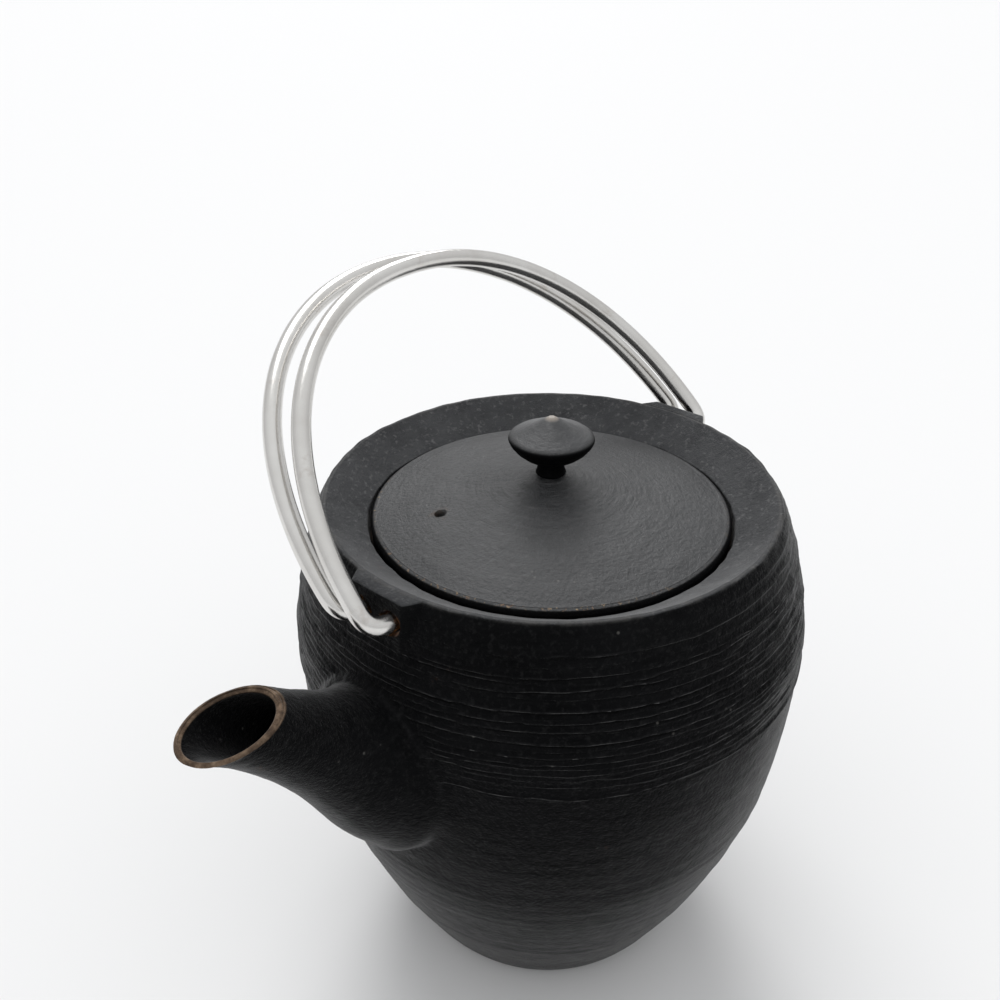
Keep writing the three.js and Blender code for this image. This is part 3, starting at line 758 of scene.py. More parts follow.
def basket():
    rows = 44
    half, back = 22, 6
    outer = basket_surface(0.05, rows, half, back)
    inner = basket_surface(0.42, rows, half, back)
    around = half * 6
    # a round collar part above the folds
    up = []
    for z in (MESH_TOP, 111.5, 110.2):
        g = outer[0].copy()
        g[:, 2] = z
        up.append(g)
    upi = []
    for z in (MESH_TOP, 111.5, 110.2):
        g = inner[0].copy()
        g[:, 2] = z
        upi.append(g)
    outer = np.concatenate([up, outer], 0)
    inner = np.concatenate([upi, inner], 0)
    # even out the hard start of the dents
    for g in (outer, inner):
        keep = g.copy()
        for _ in range(3):
            sm = g.copy()
            sm[4:-1] = (g[3:-2] + g[5:] + 2 * g[4:-1]) / 4
            sm2 = (np.roll(sm, 1, 1) + np.roll(sm, -1, 1) + 2 * sm) / 4
            wgt = np.linspace(0.6, 0.1, g.shape[0])[:, None, None]
            g[4:-1] = (sm * (1 - wgt) + sm2 * wgt)[4:-1]
    wave = 0.12 * lattice_noise(np.arange(around)[None] / 5.0 + 0 * outer[..., 2], outer[..., 2] / 5.0, 250, wrap=26)
    damp = step01(108 - outer[..., 2], 0, 6) * step01(outer[..., 2] - 70, 0, 6)
    for g in (outer, inner):
        nrm = g[..., :2] / np.maximum(np.linalg.norm(g[..., :2], axis=2, keepdims=True), 1e-6)
        g[..., :2] += nrm * (wave * damp)[..., None]
    nrow = outer.shape[0]
    # UV: distance round the unfolded tube, and height
    u = np.arange(around) / around * 2 * math.pi * 34.6
    verts, uvs = [], []
    for g in (outer, inner):
        verts.append(g.reshape(-1, 3))
        h = np.concatenate([[0], np.cumsum(np.linalg.norm(np.diff(g, axis=0), axis=2).mean(1))])
        uvs.append(np.stack([np.repeat(u[None], nrow, 0), np.repeat(h[:, None], around, 1)], -1).reshape(-1, 2))
    verts = np.concatenate(verts)
    uvs = np.concatenate(uvs)
    ni = nrow * around
    faces = quads(nrow, around, 0, flip=True) + quads(nrow, around, ni)
    # top edge
    faces += [(j, (j + 1) % around, ni + (j + 1) % around, ni + j) for j in range(around)]
    # the folded bottom: outer and inner floors
    b0, b1 = (nrow - 1) * around, ni + (nrow - 1) * around
    c0, c1 = len(verts), len(verts) + 1
    low = verts[b0:b0 + around].mean(0)
    verts = np.vstack([verts, [0, 0, low[2]], [0, 0, low[2] + 0.55]])
    uvs = np.vstack([uvs, [0, uvs[b0, 1]], [0, uvs[b1, 1]]])
    inner_low = verts[b1:b1 + around]
    inner_low[:, 2] += 0.55
    verts[b1:b1 + around] = inner_low
    faces += [(c0, b0 + (j + 1) % around, b0 + j) for j in range(around)]
    faces += [(c1, b1 + j, b1 + (j + 1) % around) for j in range(around)]
    o = new_object("infuser_basket_woven", verts, faces, uvs)
    outward(o)
    smooth(o, 50)
    return o, inner


def seam(inner):
    """The overlap of the mesh, a second layer down the back pocket."""
    around = inner.shape[1]
    half = around // 6
    mid = 4 * half  # the pocket at 242 degrees
    cols = list(range(mid - 3, mid + 5))
    rows = inner.shape[0] - 6
    g = inner[1:rows][:, cols].copy()
    nrm = g[..., :2] / np.linalg.norm(g[..., :2], axis=2, keepdims=True)
    front = g.copy()
    front[..., :2] -= nrm * 0.42
    back = g.copy()
    back[..., :2] -= nrm * 0.12
    n, m = front.shape[:2]
    verts = np.concatenate([front.reshape(-1, 3), back.reshape(-1, 3)])
    u = np.repeat((np.array(cols) / around * 2 * math.pi * 34.6 + 0.13)[None], n, 0)
    v = np.repeat(np.linspace(0, 38, n)[:, None], m, 1)
    uv = np.stack([u, v], -1).reshape(-1, 2)
    uvs = np.concatenate([uv, uv])
    k = n * m
    faces = quads(n, m, 0, wrap=False) + quads(n, m, k, wrap=False, flip=True)
    for i in range(n - 1):
        a, b = i * m, (i + 1) * m
        faces.append((a, b, k + b, k + a))
        faces.append((a + m - 1, k + a + m - 1, k + b + m - 1, b + m - 1))
    for j in range(m - 1):
        faces.append((j, k + j, k + j + 1, j + 1))
        e = (n - 1) * m
        faces.append((e + j, e + j + 1, k + e + j + 1, k + e + j))
    o = new_object("infuser_seam_woven", verts, faces, uvs)
    outward(o)
    smooth(o, 50)
    return o


# ------------------------------------------------------------------ materials
class Mat:
    def __init__(self, name):
        self.m = bpy.data.materials.new(name)
        self.m.use_nodes = True
        self.t = self.m.node_tree
        self.b = self.t.nodes["Principled BSDF"]
        self.coord = self.n("ShaderNodeTexCoord")

    def n(self, kind, **props):
        node = self.t.nodes.new(kind)
        for k, v in props.items():
            setattr(node, k, v)
        return node

    def link(self, a, b):
        self.t.links.new(a, b)

    def noise(self, scale, detail=4, rough=0.55, vec=None, distort=0.0):
        n = self.n("ShaderNodeTexNoise")
        n.inputs["Scale"].default_value = scale
        n.inputs["Detail"].default_value = detail
        n.inputs["Roughness"].default_value = rough
        n.inputs["Distortion"].default_value = distort
        self.link(vec if vec is not None else self.coord.outputs["Object"], n.inputs["Vector"])
        return n.outputs["Fac"]

    def ramp(self, fac, stops):
        r = self.n("ShaderNodeValToRGB")
        el = r.color_ramp.elements
        while len(el) < len(stops):
            el.new(0.5)
        for e, (p, c) in zip(el, stops):
            e.position = p
            e.color = (c, c, c, 1) if isinstance(c, (int, float)) else (*c, 1)
        self.link(fac, r.inputs["Fac"])
        return r.outputs["Color"]

    def math(self, op, a, b=None, clamp=False):
        n = self.n("ShaderNodeMath", operation=op, use_clamp=clamp)
        for i, v in enumerate((a, b)):
            if v is None:
                continue
            if isinstance(v, (int, float)):
                n.inputs[i].default_value = v
            else:
                self.link(v, n.inputs[i])
        return n.outputs[0]

    def mix(self, fac, a, b, blend="MIX"):
        n = self.n("ShaderNodeMix", data_type="RGBA", blend_type=blend)
        for i, v in ((0, fac), (6, a), (7, b)):
            if isinstance(v, (int, float)):
                n.inputs[i].default_value = v
            elif isinstance(v, tuple):
                n.inputs[i].default_value = (*v, 1)
            else:
                self.link(v, n.inputs[i])
        return n.outputs[2]

    def mapped(self, scale, vec=None):
        n = self.n("ShaderNodeMapping")
        n.inputs["Scale"].default_value = scale
        self.link(vec if vec is not None else self.coord.outputs["Object"], n.inputs["Vector"])
        return n.outputs[0]

    def bump(self, height, strength, distance, before=None):
        n = self.n("ShaderNodeBump")
        n.inputs["Strength"].default_value = strength
        n.inputs["Distance"].default_value = distance
        self.link(height, n.inputs["Height"])
        if before is not None:
            self.link(before, n.inputs["Normal"])
        return n.outputs["Normal"]

    def xyz(self):
        s = self.n("ShaderNodeSeparateXYZ")
        self.link(self.coord.outputs["Object"], s.inputs[0])
        return s.outputs

    def radius(self, cx=0.0, cy=0.0):
        x, y, z = self.xyz()
        dx = self.math("SUBTRACT", x, cx)
        dy = self.math("SUBTRACT", y, cy)
        return self.math("SQRT", self.math("ADD", self.math("MULTIPLY", dx, dx), self.math("MULTIPLY", dy, dy)))

    def band(self, value, a, b):
        """0 below a, 1 above b."""
        n = self.n("ShaderNodeMapRange", interpolation_type="SMOOTHSTEP")
        self.link(value, n.inputs["Value"])
        n.inputs["From Min"].default_value = a
        n.inputs["From Max"].default_value = b
        return n.outputs[0]

    def inverse(self, value):
        return self.math("SUBTRACT", 1.0, value, clamp=True)


def iron_body():
    m = Mat("iron_body")
    b = m.b
    b.inputs["Metallic"].default_value = 0.0
    lw = m.n("ShaderNodeLayerWeight")
    lw.inputs["Blend"].default_value = 0.5
    gloss = m.ramp(lw.outputs["Facing"], [(0.42, 0.035), (0.62, 0.13), (0.76, 0.5), (0.90, 1.0)])
    x, y, z = m.xyz()
    rad = m.radius()
    grain = m.noise(2400, 3, 0.7)
    sand = m.noise(950, 4, 0.65)
    blotch = m.noise(38, 5, 0.6)
    streak = m.noise(1.0, 4, 0.6, vec=m.mapped((90, 90, 900)))
    base = m.ramp(blotch, [(0.3, (0.0022, 0.0023, 0.0026)), (0.7, (0.0048, 0.0050, 0.0055))])
    base = m.mix(m.math("MULTIPLY", m.ramp(streak, [(0.45, 0.0), (0.75, 1.0)]), 0.22), base, (0.012, 0.0122, 0.0128))
    # tops of the grain catch wear
    base = m.mix(m.math("MULTIPLY", m.ramp(sand, [(0.52, 0.0), (0.72, 1.0)]), 0.62), base, (0.017, 0.017, 0.0175))
    # crests of the turned ridges are painted paler, partly as wear and partly as painted highlight, and the grooves
    # under them are painted dark as painted shade
    crest_wear_and_highlight_at = m.n("ShaderNodeAttribute", attribute_name="crest_wear_and_highlight")
    groove_shade_at = m.n("ShaderNodeAttribute", attribute_name="groove_shade")
    broken = m.ramp(m.noise(480, 4, 0.7), [(0.38, 0.1), (0.64, 1.0)])
    # crest paleness: partly wear, partly painted highlight
    worn = m.ramp(crest_wear_and_highlight_at.outputs["Fac"], [(0.25, 0.0), (1.0, 1.0)])
    base = m.mix(m.math("MULTIPLY", m.math("MULTIPLY", worn, broken), 0.8), base, (0.024, 0.024, 0.025))
    base = m.mix(m.math("MULTIPLY", m.ramp(groove_shade_at.outputs["Fac"], [(0.1, 0.0), (0.8, 1.0)]), 0.85), base, (0.0012, 0.0012, 0.0013))
    # light specks and a few hair scratches
    speck = m.n("ShaderNodeTexVoronoi", feature="F1")
    speck.inputs["Scale"].default_value = 330
    m.link(m.coord.outputs["Object"], speck.inputs["Vector"])
    dot = m.ramp(speck.outputs["Distance"], [(0.05, 1.0), (0.13, 0.0)])
    some = m.ramp(m.noise(75, 3), [(0.56, 0.0), (0.68, 1.0)])
    base = m.mix(m.math("MULTIPLY", m.math("MULTIPLY", dot, some), 0.6), base, (0.17, 0.165, 0.155))
    # the rim's dished face: smoother and greyer
    rim = m.math("MULTIPLY", m.band(z, 0.1163, 0.1172), m.inverse(m.band(rad, 0.0505, 0.0512)))
    m.link(m.math("MAXIMUM", gloss, m.math("MULTIPLY", rim, 0.12)), b.inputs["Specular IOR Level"])
    # the fine sand scatters light at the grazing edges, as dust does
    b.inputs["Sheen Weight"].default_value = 0.09
    b.inputs["Sheen Roughness"].default_value = 0.22
    rimtone = m.ramp(m.noise(130, 5, 0.65), [(0.3, (0.040, 0.041, 0.0435)), (0.7, (0.070, 0.0715, 0.0745))])
    rimtone = m.mix(m.math("MULTIPLY", m.ramp(m.noise(700, 3, 0.7), [(0.55, 0.0), (0.70, 1.0)]), 0.6), rimtone, (0.17, 0.17, 0.171))
    flat_top = m.math("MULTIPLY", m.band(z, 0.1226, 0.1229), m.band(rad, 0.0503, 0.0508))
    base = m.mix(m.math("MULTIPLY", m.math("MAXIMUM", rim, flat_top), 0.85), base, rimtone)
    # edges of the rim, a touch lighter and worn
    edge = m.math("MULTIPLY", m.math("MULTIPLY", m.band(z, 0.1222, 0.1229), m.band(rad, 0.0496, 0.0504)), m.inverse(m.band(rad, 0.0512, 0.0517)))
    base = m.mix(m.math("MULTIPLY", m.math("MULTIPLY", edge, m.ramp(m.noise(240, 4, 0.7), [(0.42, 0.0), (0.62, 1.0)])), 0.5), base, (0.085, 0.082, 0.078))
    # brown bloom on the hidden ledge
    ledge = m.math("MULTIPLY", m.inverse(m.band(z, 0.1150, 0.1166)), m.math("MULTIPLY", m.band(z, 0.1100, 0.1112), m.inverse(m.band(rad, 0.0408, 0.0413))))
    rusty = m.ramp(m.noise(150, 5, 0.65), [(0.38, 0.0), (0.66, 1.0)])
    base = m.mix(m.math("MULTIPLY", m.math("MULTIPLY", ledge, rusty), 0.75), base, (0.075, 0.050, 0.036))
    # rust round the rods' holes
    for sx in (1, -1):
        for sy in (1, -1):
            dx = m.band(m.math("MULTIPLY", x, float(sx)), 0.0505, 0.0515)
            ey = m.math("SUBTRACT", y, sy * HINGE_Y * MM)
            ez = m.math("SUBTRACT", z, HINGE_Z * MM)
            d = m.math("SQRT", m.math("ADD", m.math("MULTIPLY", ey, ey), m.math("MULTIPLY", ez, ez)))
            wob = m.math("ADD", d, m.math("MULTIPLY", m.math("SUBTRACT", m.noise(420, 4, 0.7), 0.5), 0.0022))
            ring = m.inverse(m.band(wob, 0.0021, 0.0030))
            part = m.ramp(m.noise(260, 2), [(0.42, 0.15), (0.58, 1.0)])
            base = m.mix(m.math("MULTIPLY", m.math("MULTIPLY", m.math("MULTIPLY", ring, dx), part), 0.85), base, m.ramp(m.noise(700, 4), [(0.35, (0.06, 0.024, 0.009)), (0.7, (0.36, 0.15, 0.04))]))
    # a few rust freckles over the body
    frk = m.math("MULTIPLY", m.ramp(m.noise(120, 5, 0.7), [(0.67, 0.0), (0.72, 1.0)]), m.ramp(m.noise(22, 2), [(0.55, 0.0), (0.65, 1.0)]))
    base = m.mix(m.math("MULTIPLY", frk, 0.55), base, (0.085, 0.042, 0.024))
    # worn brown lip of the spout
    lipx = m.band(x, 0.0780, 0.0790)
    plane = m.math("ADD", z, m.math("MULTIPLY", m.math("SUBTRACT", x, 0.0794), 0.104))  # follows the mouth's tilt
    lip = m.math("MULTIPLY", m.band(plane, 0.11475, 0.11512), lipx)
    tan = m.ramp(m.noise(330, 4, 0.65), [(0.34, (0.050, 0.036, 0.028)), (0.5, (0.105, 0.072, 0.050)), (0.68, (0.23, 0.165, 0.115))])
    base = m.mix(m.math("MULTIPLY", lip, 0.92), base, tan)
    m.link(base, b.inputs["Base Color"])
    rough = m.ramp(m.noise(260, 4, 0.6), [(0.3, 0.56), (0.7, 0.74)])
    rough = m.mix(m.math("MULTIPLY", rim, 1.0), rough, m.ramp(blotch, [(0.3, 0.50), (0.7, 0.60)]))
    m.link(rough, b.inputs["Roughness"])
    smoother = m.math("MULTIPLY", m.inverse(m.math("MULTIPLY", rim, 0.45)), 1.0)
    h1 = m.math("MULTIPLY", m.math("ADD", m.math("MULTIPLY", sand, 1.0), m.math("MULTIPLY", grain, 0.5)), smoother)
    n1 = m.bump(h1, 1.0, 0.00052)
    n2 = m.bump(m.math("MULTIPLY", m.noise(430, 5, 0.62), smoother), 0.6, 0.00036, n1)
    # turning lines finer than the modelled ridges, strongest in the upper belt
    comb = m.n("ShaderNodeCombineXYZ")
    ang = m.math("ARCTAN2", y, x)
    m.link(m.math("MULTIPLY", m.math("SINE", ang), 7.0), comb.inputs[0])
    m.link(m.math("MULTIPLY", m.math("COSINE", ang), 7.0), comb.inputs[1])
    m.link(m.math("MULTIPLY", z, 1700.0), comb.inputs[2])
    lines = m.noise(1.0, 4, 0.6, vec=comb.outputs[0])
    side = m.math("MULTIPLY", m.band(rad, 0.034, 0.036), m.inverse(m.band(x, 0.0595, 0.062)))
    depth = m.math("MULTIPLY", m.math("MULTIPLY", side, m.inverse(rim)), m.math("ADD", 0.35, m.math("MULTIPLY", m.band(z, 0.084, 0.090), 0.65)))
    n3 = m.bump(m.math("MULTIPLY", lines, depth), 0.5, 0.00025, n2)
    m.link(n3, b.inputs["Normal"])
    return m.m


def iron_lid(name="iron_lid", knob=False):
    m = Mat(name)
    b = m.b
    b.inputs["Metallic"].default_value = 0.0
    b.inputs["Specular IOR Level"].default_value = 0.5
    x, y, z = m.xyz()
    if knob:  # polished above by handling, dull below
        m.link(m.ramp(m.band(z, 0.1354, 0.1364), [(0.0, 0.01), (1.0, 0.48)]), b.inputs["Specular IOR Level"])
    rad = m.radius()
    blotch = m.noise(45, 5, 0.6)
    # turning marks: noise that changes fast with the radius and slowly round it
    comb = m.n("ShaderNodeCombineXYZ")
    ang = m.math("ARCTAN2", y, x)
    m.link(m.math("MULTIPLY", rad, 1000.0), comb.inputs[0])
    m.link(m.math("MULTIPLY", m.math("SINE", ang), 1.2), comb.inputs[1])
    m.link(m.math("MULTIPLY", m.math("COSINE", ang), 1.2), comb.inputs[2])
    rings = m.noise(0.75, 6, 0.68, vec=comb.outputs[0])
    grain = m.noise(1300, 3, 0.7)
    if knob:
        lo, hi = (0.028, 0.029, 0.031), (0.040, 0.0412, 0.0435)
    else:
        lo, hi = (0.020, 0.0207, 0.0222), (0.034, 0.035, 0.0368)
    base = m.ramp(blotch, [(0.3, lo), (0.72, hi)])
    inner = m.inverse(m.band(rad, 0.008, 0.026))
    base = m.mix(m.math("MULTIPLY", m.ramp(rings, [(0.5, 0.0), (0.72, 1.0)]), m.math("ADD", 0.32, m.math("MULTIPLY", inner, 0.68))), base, (0.070, 0.0705, 0.072))
    base = m.mix(m.math("MULTIPLY", m.ramp(m.noise(620, 4, 0.7), [(0.52, 0.0), (0.70, 1.0)]), 0.5), base, (0.062, 0.062, 0.064))
    speck = m.n("ShaderNodeTexVoronoi", feature="F1")
    speck.inputs["Scale"].default_value = 420
    m.link(m.coord.outputs["Object"], speck.inputs["Vector"])
    dot = m.ramp(speck.outputs["Distance"], [(0.06, 1.0), (0.15, 0.0)])
    some = m.ramp(m.noise(60, 3), [(0.52, 0.0), (0.66, 1.0)])
    base = m.mix(m.math("MULTIPLY", m.math("MULTIPLY", dot, some), 0.45), base, (0.15, 0.145, 0.135))
    if not knob:
        # painted shade: the lid's outer edge is painted near-black and made less glossy, so it reads as a wide dark gap
        # against the rim
        base = m.mix(m.math("MULTIPLY", m.band(rad, 0.03975, 0.0402), 0.93), base, (0.0016, 0.0016, 0.0018))
        m.link(m.ramp(m.band(rad, 0.03975, 0.0402), [(0.0, 0.5), (1.0, 0.03)]), b.inputs["Specular IOR Level"])
        edge = m.math("MULTIPLY", m.band(rad, 0.0391, 0.0395), m.inverse(m.band(rad, 0.0398, 0.0402)))
        spots = m.math("MULTIPLY", m.ramp(m.noise(1250, 3, 0.7), [(0.57, 0.0), (0.62, 1.0)]), m.ramp(m.noise(34, 2), [(0.40, 0.0), (0.50, 1.0)]))
        spots = m.math("MULTIPLY", spots, m.math("ADD", 0.15, m.math("MULTIPLY", m.band(x, 0.004, 0.020), 0.85)))
        base = m.mix(m.math("MULTIPLY", m.math("MULTIPLY", edge, spots), 0.85), base, m.ramp(m.noise(900, 2), [(0.4, (0.11, 0.05, 0.022)), (0.6, (0.34, 0.24, 0.13))]))
        # painted shade: a dark ring is painted round the steam hole, so the hole reads darker and wider
        sx_ = m.math("SUBTRACT", x, 0.0225)
        sy_ = m.math("SUBTRACT", y, -0.013)
        d = m.math("SQRT", m.math("ADD", m.math("MULTIPLY", sx_, sx_), m.math("MULTIPLY", sy_, sy_)))
        hole_shade = m.inverse(m.band(d, 0.0011, 0.0021))
        base = m.mix(m.math("MULTIPLY", hole_shade, 0.5), base, (0.012, 0.011, 0.010))
        brown = m.math("MULTIPLY", m.inverse(m.band(d, 0.0016, 0.0034)), m.ramp(m.noise(500, 3), [(0.5, 0.0), (0.65, 1.0)]))
        base = m.mix(m.math("MULTIPLY", brown, 0.3), base, (0.10, 0.055, 0.03))
    else:
        # painted shade: the knob's stem and underside below its rim are painted near-black
        base = m.mix(m.math("MULTIPLY", m.inverse(m.band(z, 0.1354, 0.1364)), 0.96), base, (0.0010, 0.0010, 0.0012))
        tip = m.band(z, 0.1396, 0.1402)
        base = m.mix(m.math("MULTIPLY", tip, 0.85), base, (0.33, 0.29, 0.25))
    m.link(base, b.inputs["Base Color"])
    rough = m.ramp(rings, [(0.3, 0.44 if not knob else 0.40), (0.7, 0.58 if not knob else 0.50)])
    m.link(rough, b.inputs["Roughness"])
    lined = m.math("ADD", 0.8, m.math("MULTIPLY", m.inverse(m.band(rad, 0.009, 0.027)), 1.6)) if not knob else 0.5
    n1 = m.bump(m.math("MULTIPLY", rings, lined), 0.5, 0.0004)
    n2 = m.bump(m.math("ADD", m.noise(900, 4, 0.65), m.math("MULTIPLY", grain, 0.5)), 0.8 if not knob else 0.3, 0.00038, n1)
    n3 = m.bump(m.noise(260, 5, 0.62), 0.35 if not knob else 0.15, 0.0004, n2)
    m.link(n3, b.inputs["Normal"])
    return m.m


def rod_steel():
    m = Mat("rod_steel")
    b = m.b
    b.inputs["Metallic"].default_value = 1.0
    uv = m.coord.outputs["UV"]
    lines = m.noise(1.0, 5, 0.65, vec=m.mapped((0.05, 7.0, 1), uv))
    patch = m.noise(60, 4, 0.6)
    fine = m.noise(1.0, 3, 0.6, vec=m.mapped((0.6, 22.0, 1), uv))
    base = m.ramp(patch, [(0.3, (0.60, 0.585, 0.56)), (0.7, (0.72, 0.71, 0.69))])
    # brown handling marks
    mark = m.ramp(m.noise(95, 4, 0.7), [(0.62, 0.0), (0.74, 1.0)])
    base = m.mix(m.math("MULTIPLY", mark, 0.35), base, (0.36, 0.30, 0.25))
    x, y, z = m.xyz()
    m.link(base, b.inputs["Base Color"])
    rough = m.ramp(lines, [(0.3, 0.13), (0.7, 0.27)])
    m.link(rough, b.inputs["Roughness"])
    n1 = m.bump(lines, 0.12, 0.00012)
    n2 = m.bump(fine, 0.08, 0.00005, n1)
    scr = m.n("ShaderNodeTexVoronoi", feature="DISTANCE_TO_EDGE")
    scr.inputs["Scale"].default_value = 1.0
    m.link(m.mapped((0.035, 0.5, 1), uv), scr.inputs["Vector"])
    n3 = m.bump(m.ramp(scr.outputs["Distance"], [(0.0, 0.0), (0.012, 1.0)]), 0.12, 0.00005, n2)
    m.link(n3, b.inputs["Normal"])
    return m.m


def rim_steel():
    m = Mat("rim_steel")
    b = m.b
    b.inputs["Metallic"].default_value = 1.0
    rad = m.radius()
    x, y, z = m.xyz()
    comb = m.n("ShaderNodeCombineXYZ")
    ang = m.math("ARCTAN2", y, x)
    m.link(m.math("MULTIPLY", rad, 1000.0), comb.inputs[0])
    m.link(m.math("SINE", ang), comb.inputs[1])
    m.link(m.math("COSINE", ang), comb.inputs[2])
    rings = m.noise(3.5, 5, 0.65, vec=comb.outputs[0])
    base = m.ramp(m.noise(50, 4), [(0.3, (0.74, 0.73, 0.71)), (0.7, (0.84, 0.83, 0.81))])
    collar = m.math("MULTIPLY", m.inverse(m.band(z, 0.1128, 0.1135)), m.inverse(m.band(rad, 0.0342, 0.0346)))
    base = m.mix(m.math("MULTIPLY", collar, 0.75), base, (0.26, 0.25, 0.235))
    m.link(base, b.inputs["Base Color"])
    m.link(m.ramp(rings, [(0.3, 0.10), (0.7, 0.22)]), b.inputs["Roughness"])
    n1 = m.bump(rings, 0.10, 0.00008)
    n2 = m.bump(m.noise(160, 3), 0.06, 0.0003, n1)
    m.link(n2, b.inputs["Normal"])
    return m.m


def mesh_steel():
    """Plain woven wire, 0.34 mm apart, laid out along the basket's own UVs in millimetres."""
    m = Mat("mesh_steel")
    b = m.b
    uv = m.coord.outputs["UV"]
    s = m.n("ShaderNodeSeparateXYZ")
    m.link(uv, s.inputs[0])
    pitch = 0.42
    k = 2 * math.pi / pitch
    su = m.math("SINE", m.math("MULTIPLY", s.outputs[0], k / 2))
    sv = m.math("SINE", m.math("MULTIPLY", s.outputs[1], k / 2))
    wu = m.math("ABSOLUTE", su)
    wv = m.math("ABSOLUTE", sv)
    cu = m.math("COSINE", m.math("MULTIPLY", s.outputs[0], k / 2))
    cv = m.math("COSINE", m.math("MULTIPLY", s.outputs[1], k / 2))
    # over and under: the crossing wire lifts and sinks each pitch
    over = m.math("MULTIPLY", m.math("SIGN", cu), m.math("SIGN", cv))
    warp = m.math("MULTIPLY", wu, m.math("ADD", 0.82, m.math("MULTIPLY", over, 0.18)))
    weft = m.math("MULTIPLY", wv, m.math("SUBTRACT", 0.82, m.math("MULTIPLY", over, 0.18)))
    height = m.math("MAXIMUM", warp, weft)
    wire = m.ramp(height, [(0.45, 0.0), (0.68, 1.0)])
    tone = m.ramp(m.noise(70, 4, 0.6), [(0.3, (0.50, 0.475, 0.44)), (0.7, (0.62, 0.60, 0.565))])
    base = m.mix(wire, (0.020, 0.018, 0.016), tone)
    stain = m.ramp(m.noise(55, 4, 0.6), [(0.55, 0.0), (0.75, 1.0)])
    base = m.mix(m.math("MULTIPLY", stain, 0.3), base, (0.24, 0.20, 0.155))
    m.link(base, b.inputs["Base Color"])
    m.link(m.math("MULTIPLY", wire, 0.92), b.inputs["Metallic"])
    m.link(m.ramp(wire, [(0.2, 0.85), (0.9, 0.34)]), b.inputs["Roughness"])
    n1 = m.bump(height, 0.55, 0.00011)
    n2 = m.bump(m.noise(90, 3), 0.25, 0.0004, n1)
    m.link(n2, b.inputs["Normal"])
    return m.m


def dress(o, material):
    o.data.materials.clear()
    o.data.materials.append(material)


# ------------------------------------------------------------------ put together
IRON = iron_body()
LID = iron_lid()
KNOB = iron_lid("iron_knob", True)
ROD = rod_steel()
RIMS = rim_steel()
MESH = mesh_steel()

o = pot_body()
dress(o, IRON)
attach(o, "pot"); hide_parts("pot_body", "spout")

o = lid_plate()
dress(o, LID)
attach(o, "lid"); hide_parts("lid_plate")

o = lid_knob()
dress(o, KNOB)
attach(o, "lid"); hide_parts("lid_knob")

for side in ("left", "right"):
    o = rod("handle_bail_" + side, side)
    dress(o, ROD)
    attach(o, "handle_" + side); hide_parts("handle_rod_" + side)

o = infuser_ring()
dress(o, RIMS)
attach(o, "infuser"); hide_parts("infuser_rim")

o, inner = basket()
dress(o, MESH)
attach(o, "infuser"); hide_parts("infuser_mesh")
o = seam(inner)
dress(o, MESH)
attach(o, "infuser")

# ------------------------------------------------------------------ floor, light, camera
floor = new_object("floor_plane", [(-40000, -40000, -0.05), (40000, -40000, -0.05), (40000, 40000, -0.05), (-40000, 40000, -0.05)], [(0, 1, 2, 3)])
fm = bpy.data.materials.new("floor_pale")
fm.use_nodes = True
fb = fm.node_tree.nodes["Principled BSDF"]
fb.inputs["Base Color"].default_value = (0.80, 0.80, 0.80, 1)
fb.inputs["Roughness"].default_value = 0.85
fb.inputs["Specular IOR Level"].default_value = 0.2
dress(floor, fm)

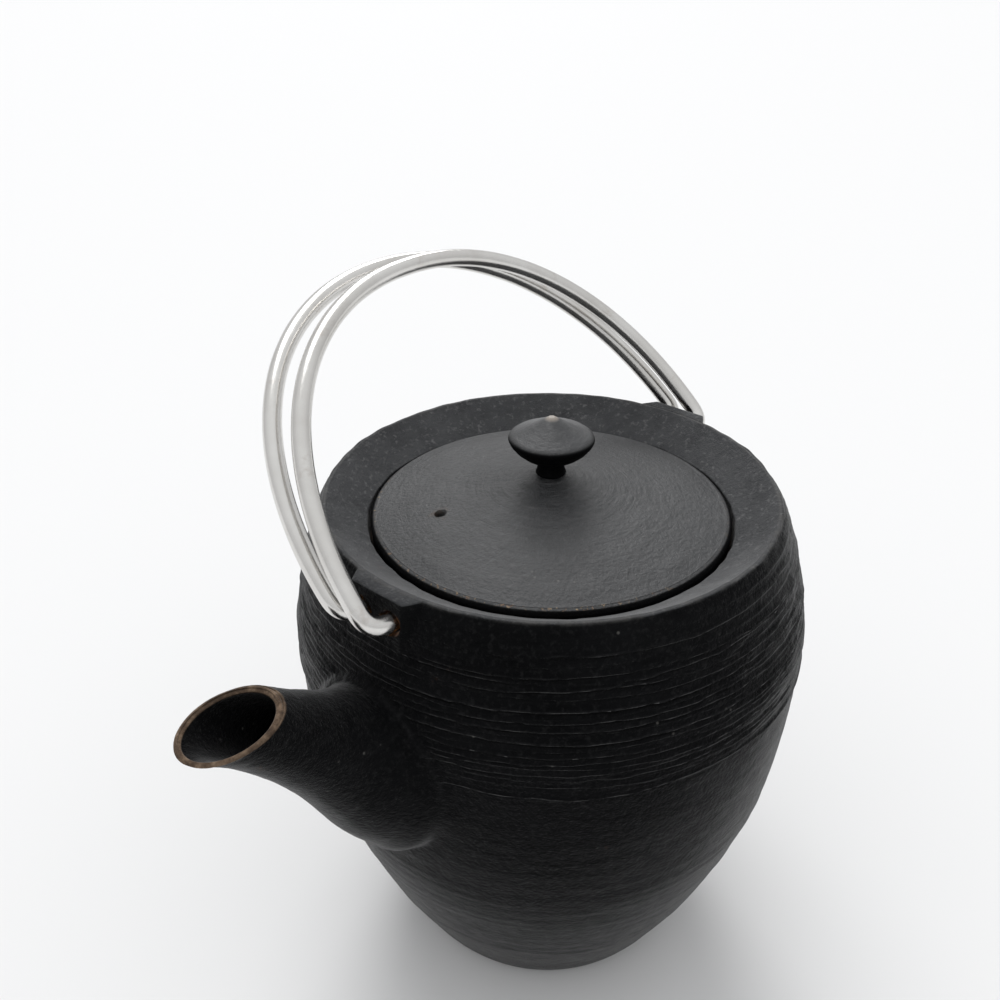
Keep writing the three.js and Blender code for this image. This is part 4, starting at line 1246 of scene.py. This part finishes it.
world = bpy.data.worlds.new("studio")
world.use_nodes = True
wt = world.node_tree
bg = wt.nodes["Background"]
bg.inputs["Strength"].default_value = 1.0
wc = wt.nodes.new("ShaderNodeTexCoord")
wx = wt.nodes.new("ShaderNodeSeparateXYZ")
wr = wt.nodes.new("ShaderNodeValToRGB")
for p, c in zip((0.0, 0.10, 0.5, 0.8), (0.84, 0.66, 0.76, 0.88)):
    e = wr.color_ramp.elements.new(p) if p not in (0.0,) else wr.color_ramp.elements[0]
    e.position = p
    e.color = (c * 0.985, c * 0.99, c, 1)
wr.color_ramp.elements[-1].position = 1.0
wr.color_ramp.elements[-1].color = (0.90, 0.91, 0.92, 1)
wt.links.new(wc.outputs["Generated"], wx.inputs[0])
wt.links.new(wx.outputs["Z"], wr.inputs["Fac"])
wt.links.new(wr.outputs["Color"], bg.inputs["Color"])
bpy.context.scene.world = world


sky = bpy.data.lights.new("soft_sun", "SUN")
sky.energy = 0.80
sky.angle = math.radians(38)
so = bpy.data.objects.new("soft_sun", sky)
so.rotation_mode = "QUATERNION"
so.rotation_quaternion = Vector((0.30, 0.45, -1.0)).to_track_quat("-Z", "Y")
bpy.context.scene.collection.objects.link(so)
key = bpy.data.lights.new("key_sun", "SUN")
key.energy = 0.90
key.angle = math.radians(24)
ko = bpy.data.objects.new("key_sun", key)
ko.rotation_mode = "QUATERNION"
ko.rotation_quaternion = Vector((0.72, 0.68, -0.72)).to_track_quat("-Z", "Y")
bpy.context.scene.collection.objects.link(ko)

CAM = dict(C=(162.54, 126.21, 239.15), az=131.0, el=30.2, roll=-0.47, f=1050.0)
cam_data = bpy.data.cameras.new("camera")
cam = bpy.data.objects.new("camera", cam_data)
bpy.context.scene.collection.objects.link(cam)
a, e, k = math.radians(CAM["az"]), math.radians(CAM["el"]), math.radians(CAM["roll"])
F = -Vector((math.sin(a) * math.cos(e), -math.cos(a) * math.cos(e), math.sin(e)))
right = Vector((math.cos(a), math.sin(a), 0))
up = right.cross(F)
r2 = right * math.cos(k) + up * math.sin(k)
u2 = up * math.cos(k) - right * math.sin(k)
cam.matrix_world = Matrix((
    (r2.x, u2.x, -F.x, CAM["C"][0] * MM),
    (r2.y, u2.y, -F.y, CAM["C"][1] * MM),
    (r2.z, u2.z, -F.z, CAM["C"][2] * MM),
    (0, 0, 0, 1)))
cam_data.sensor_width = 36
cam_data.lens = 36 * CAM["f"] / 1000
cam_data.clip_start = 0.005
cam_data.clip_end = 150
bpy.context.scene.camera = cam
bpy.context.scene.view_settings.view_transform = "Standard"
bpy.context.scene.view_settings.look = "None"
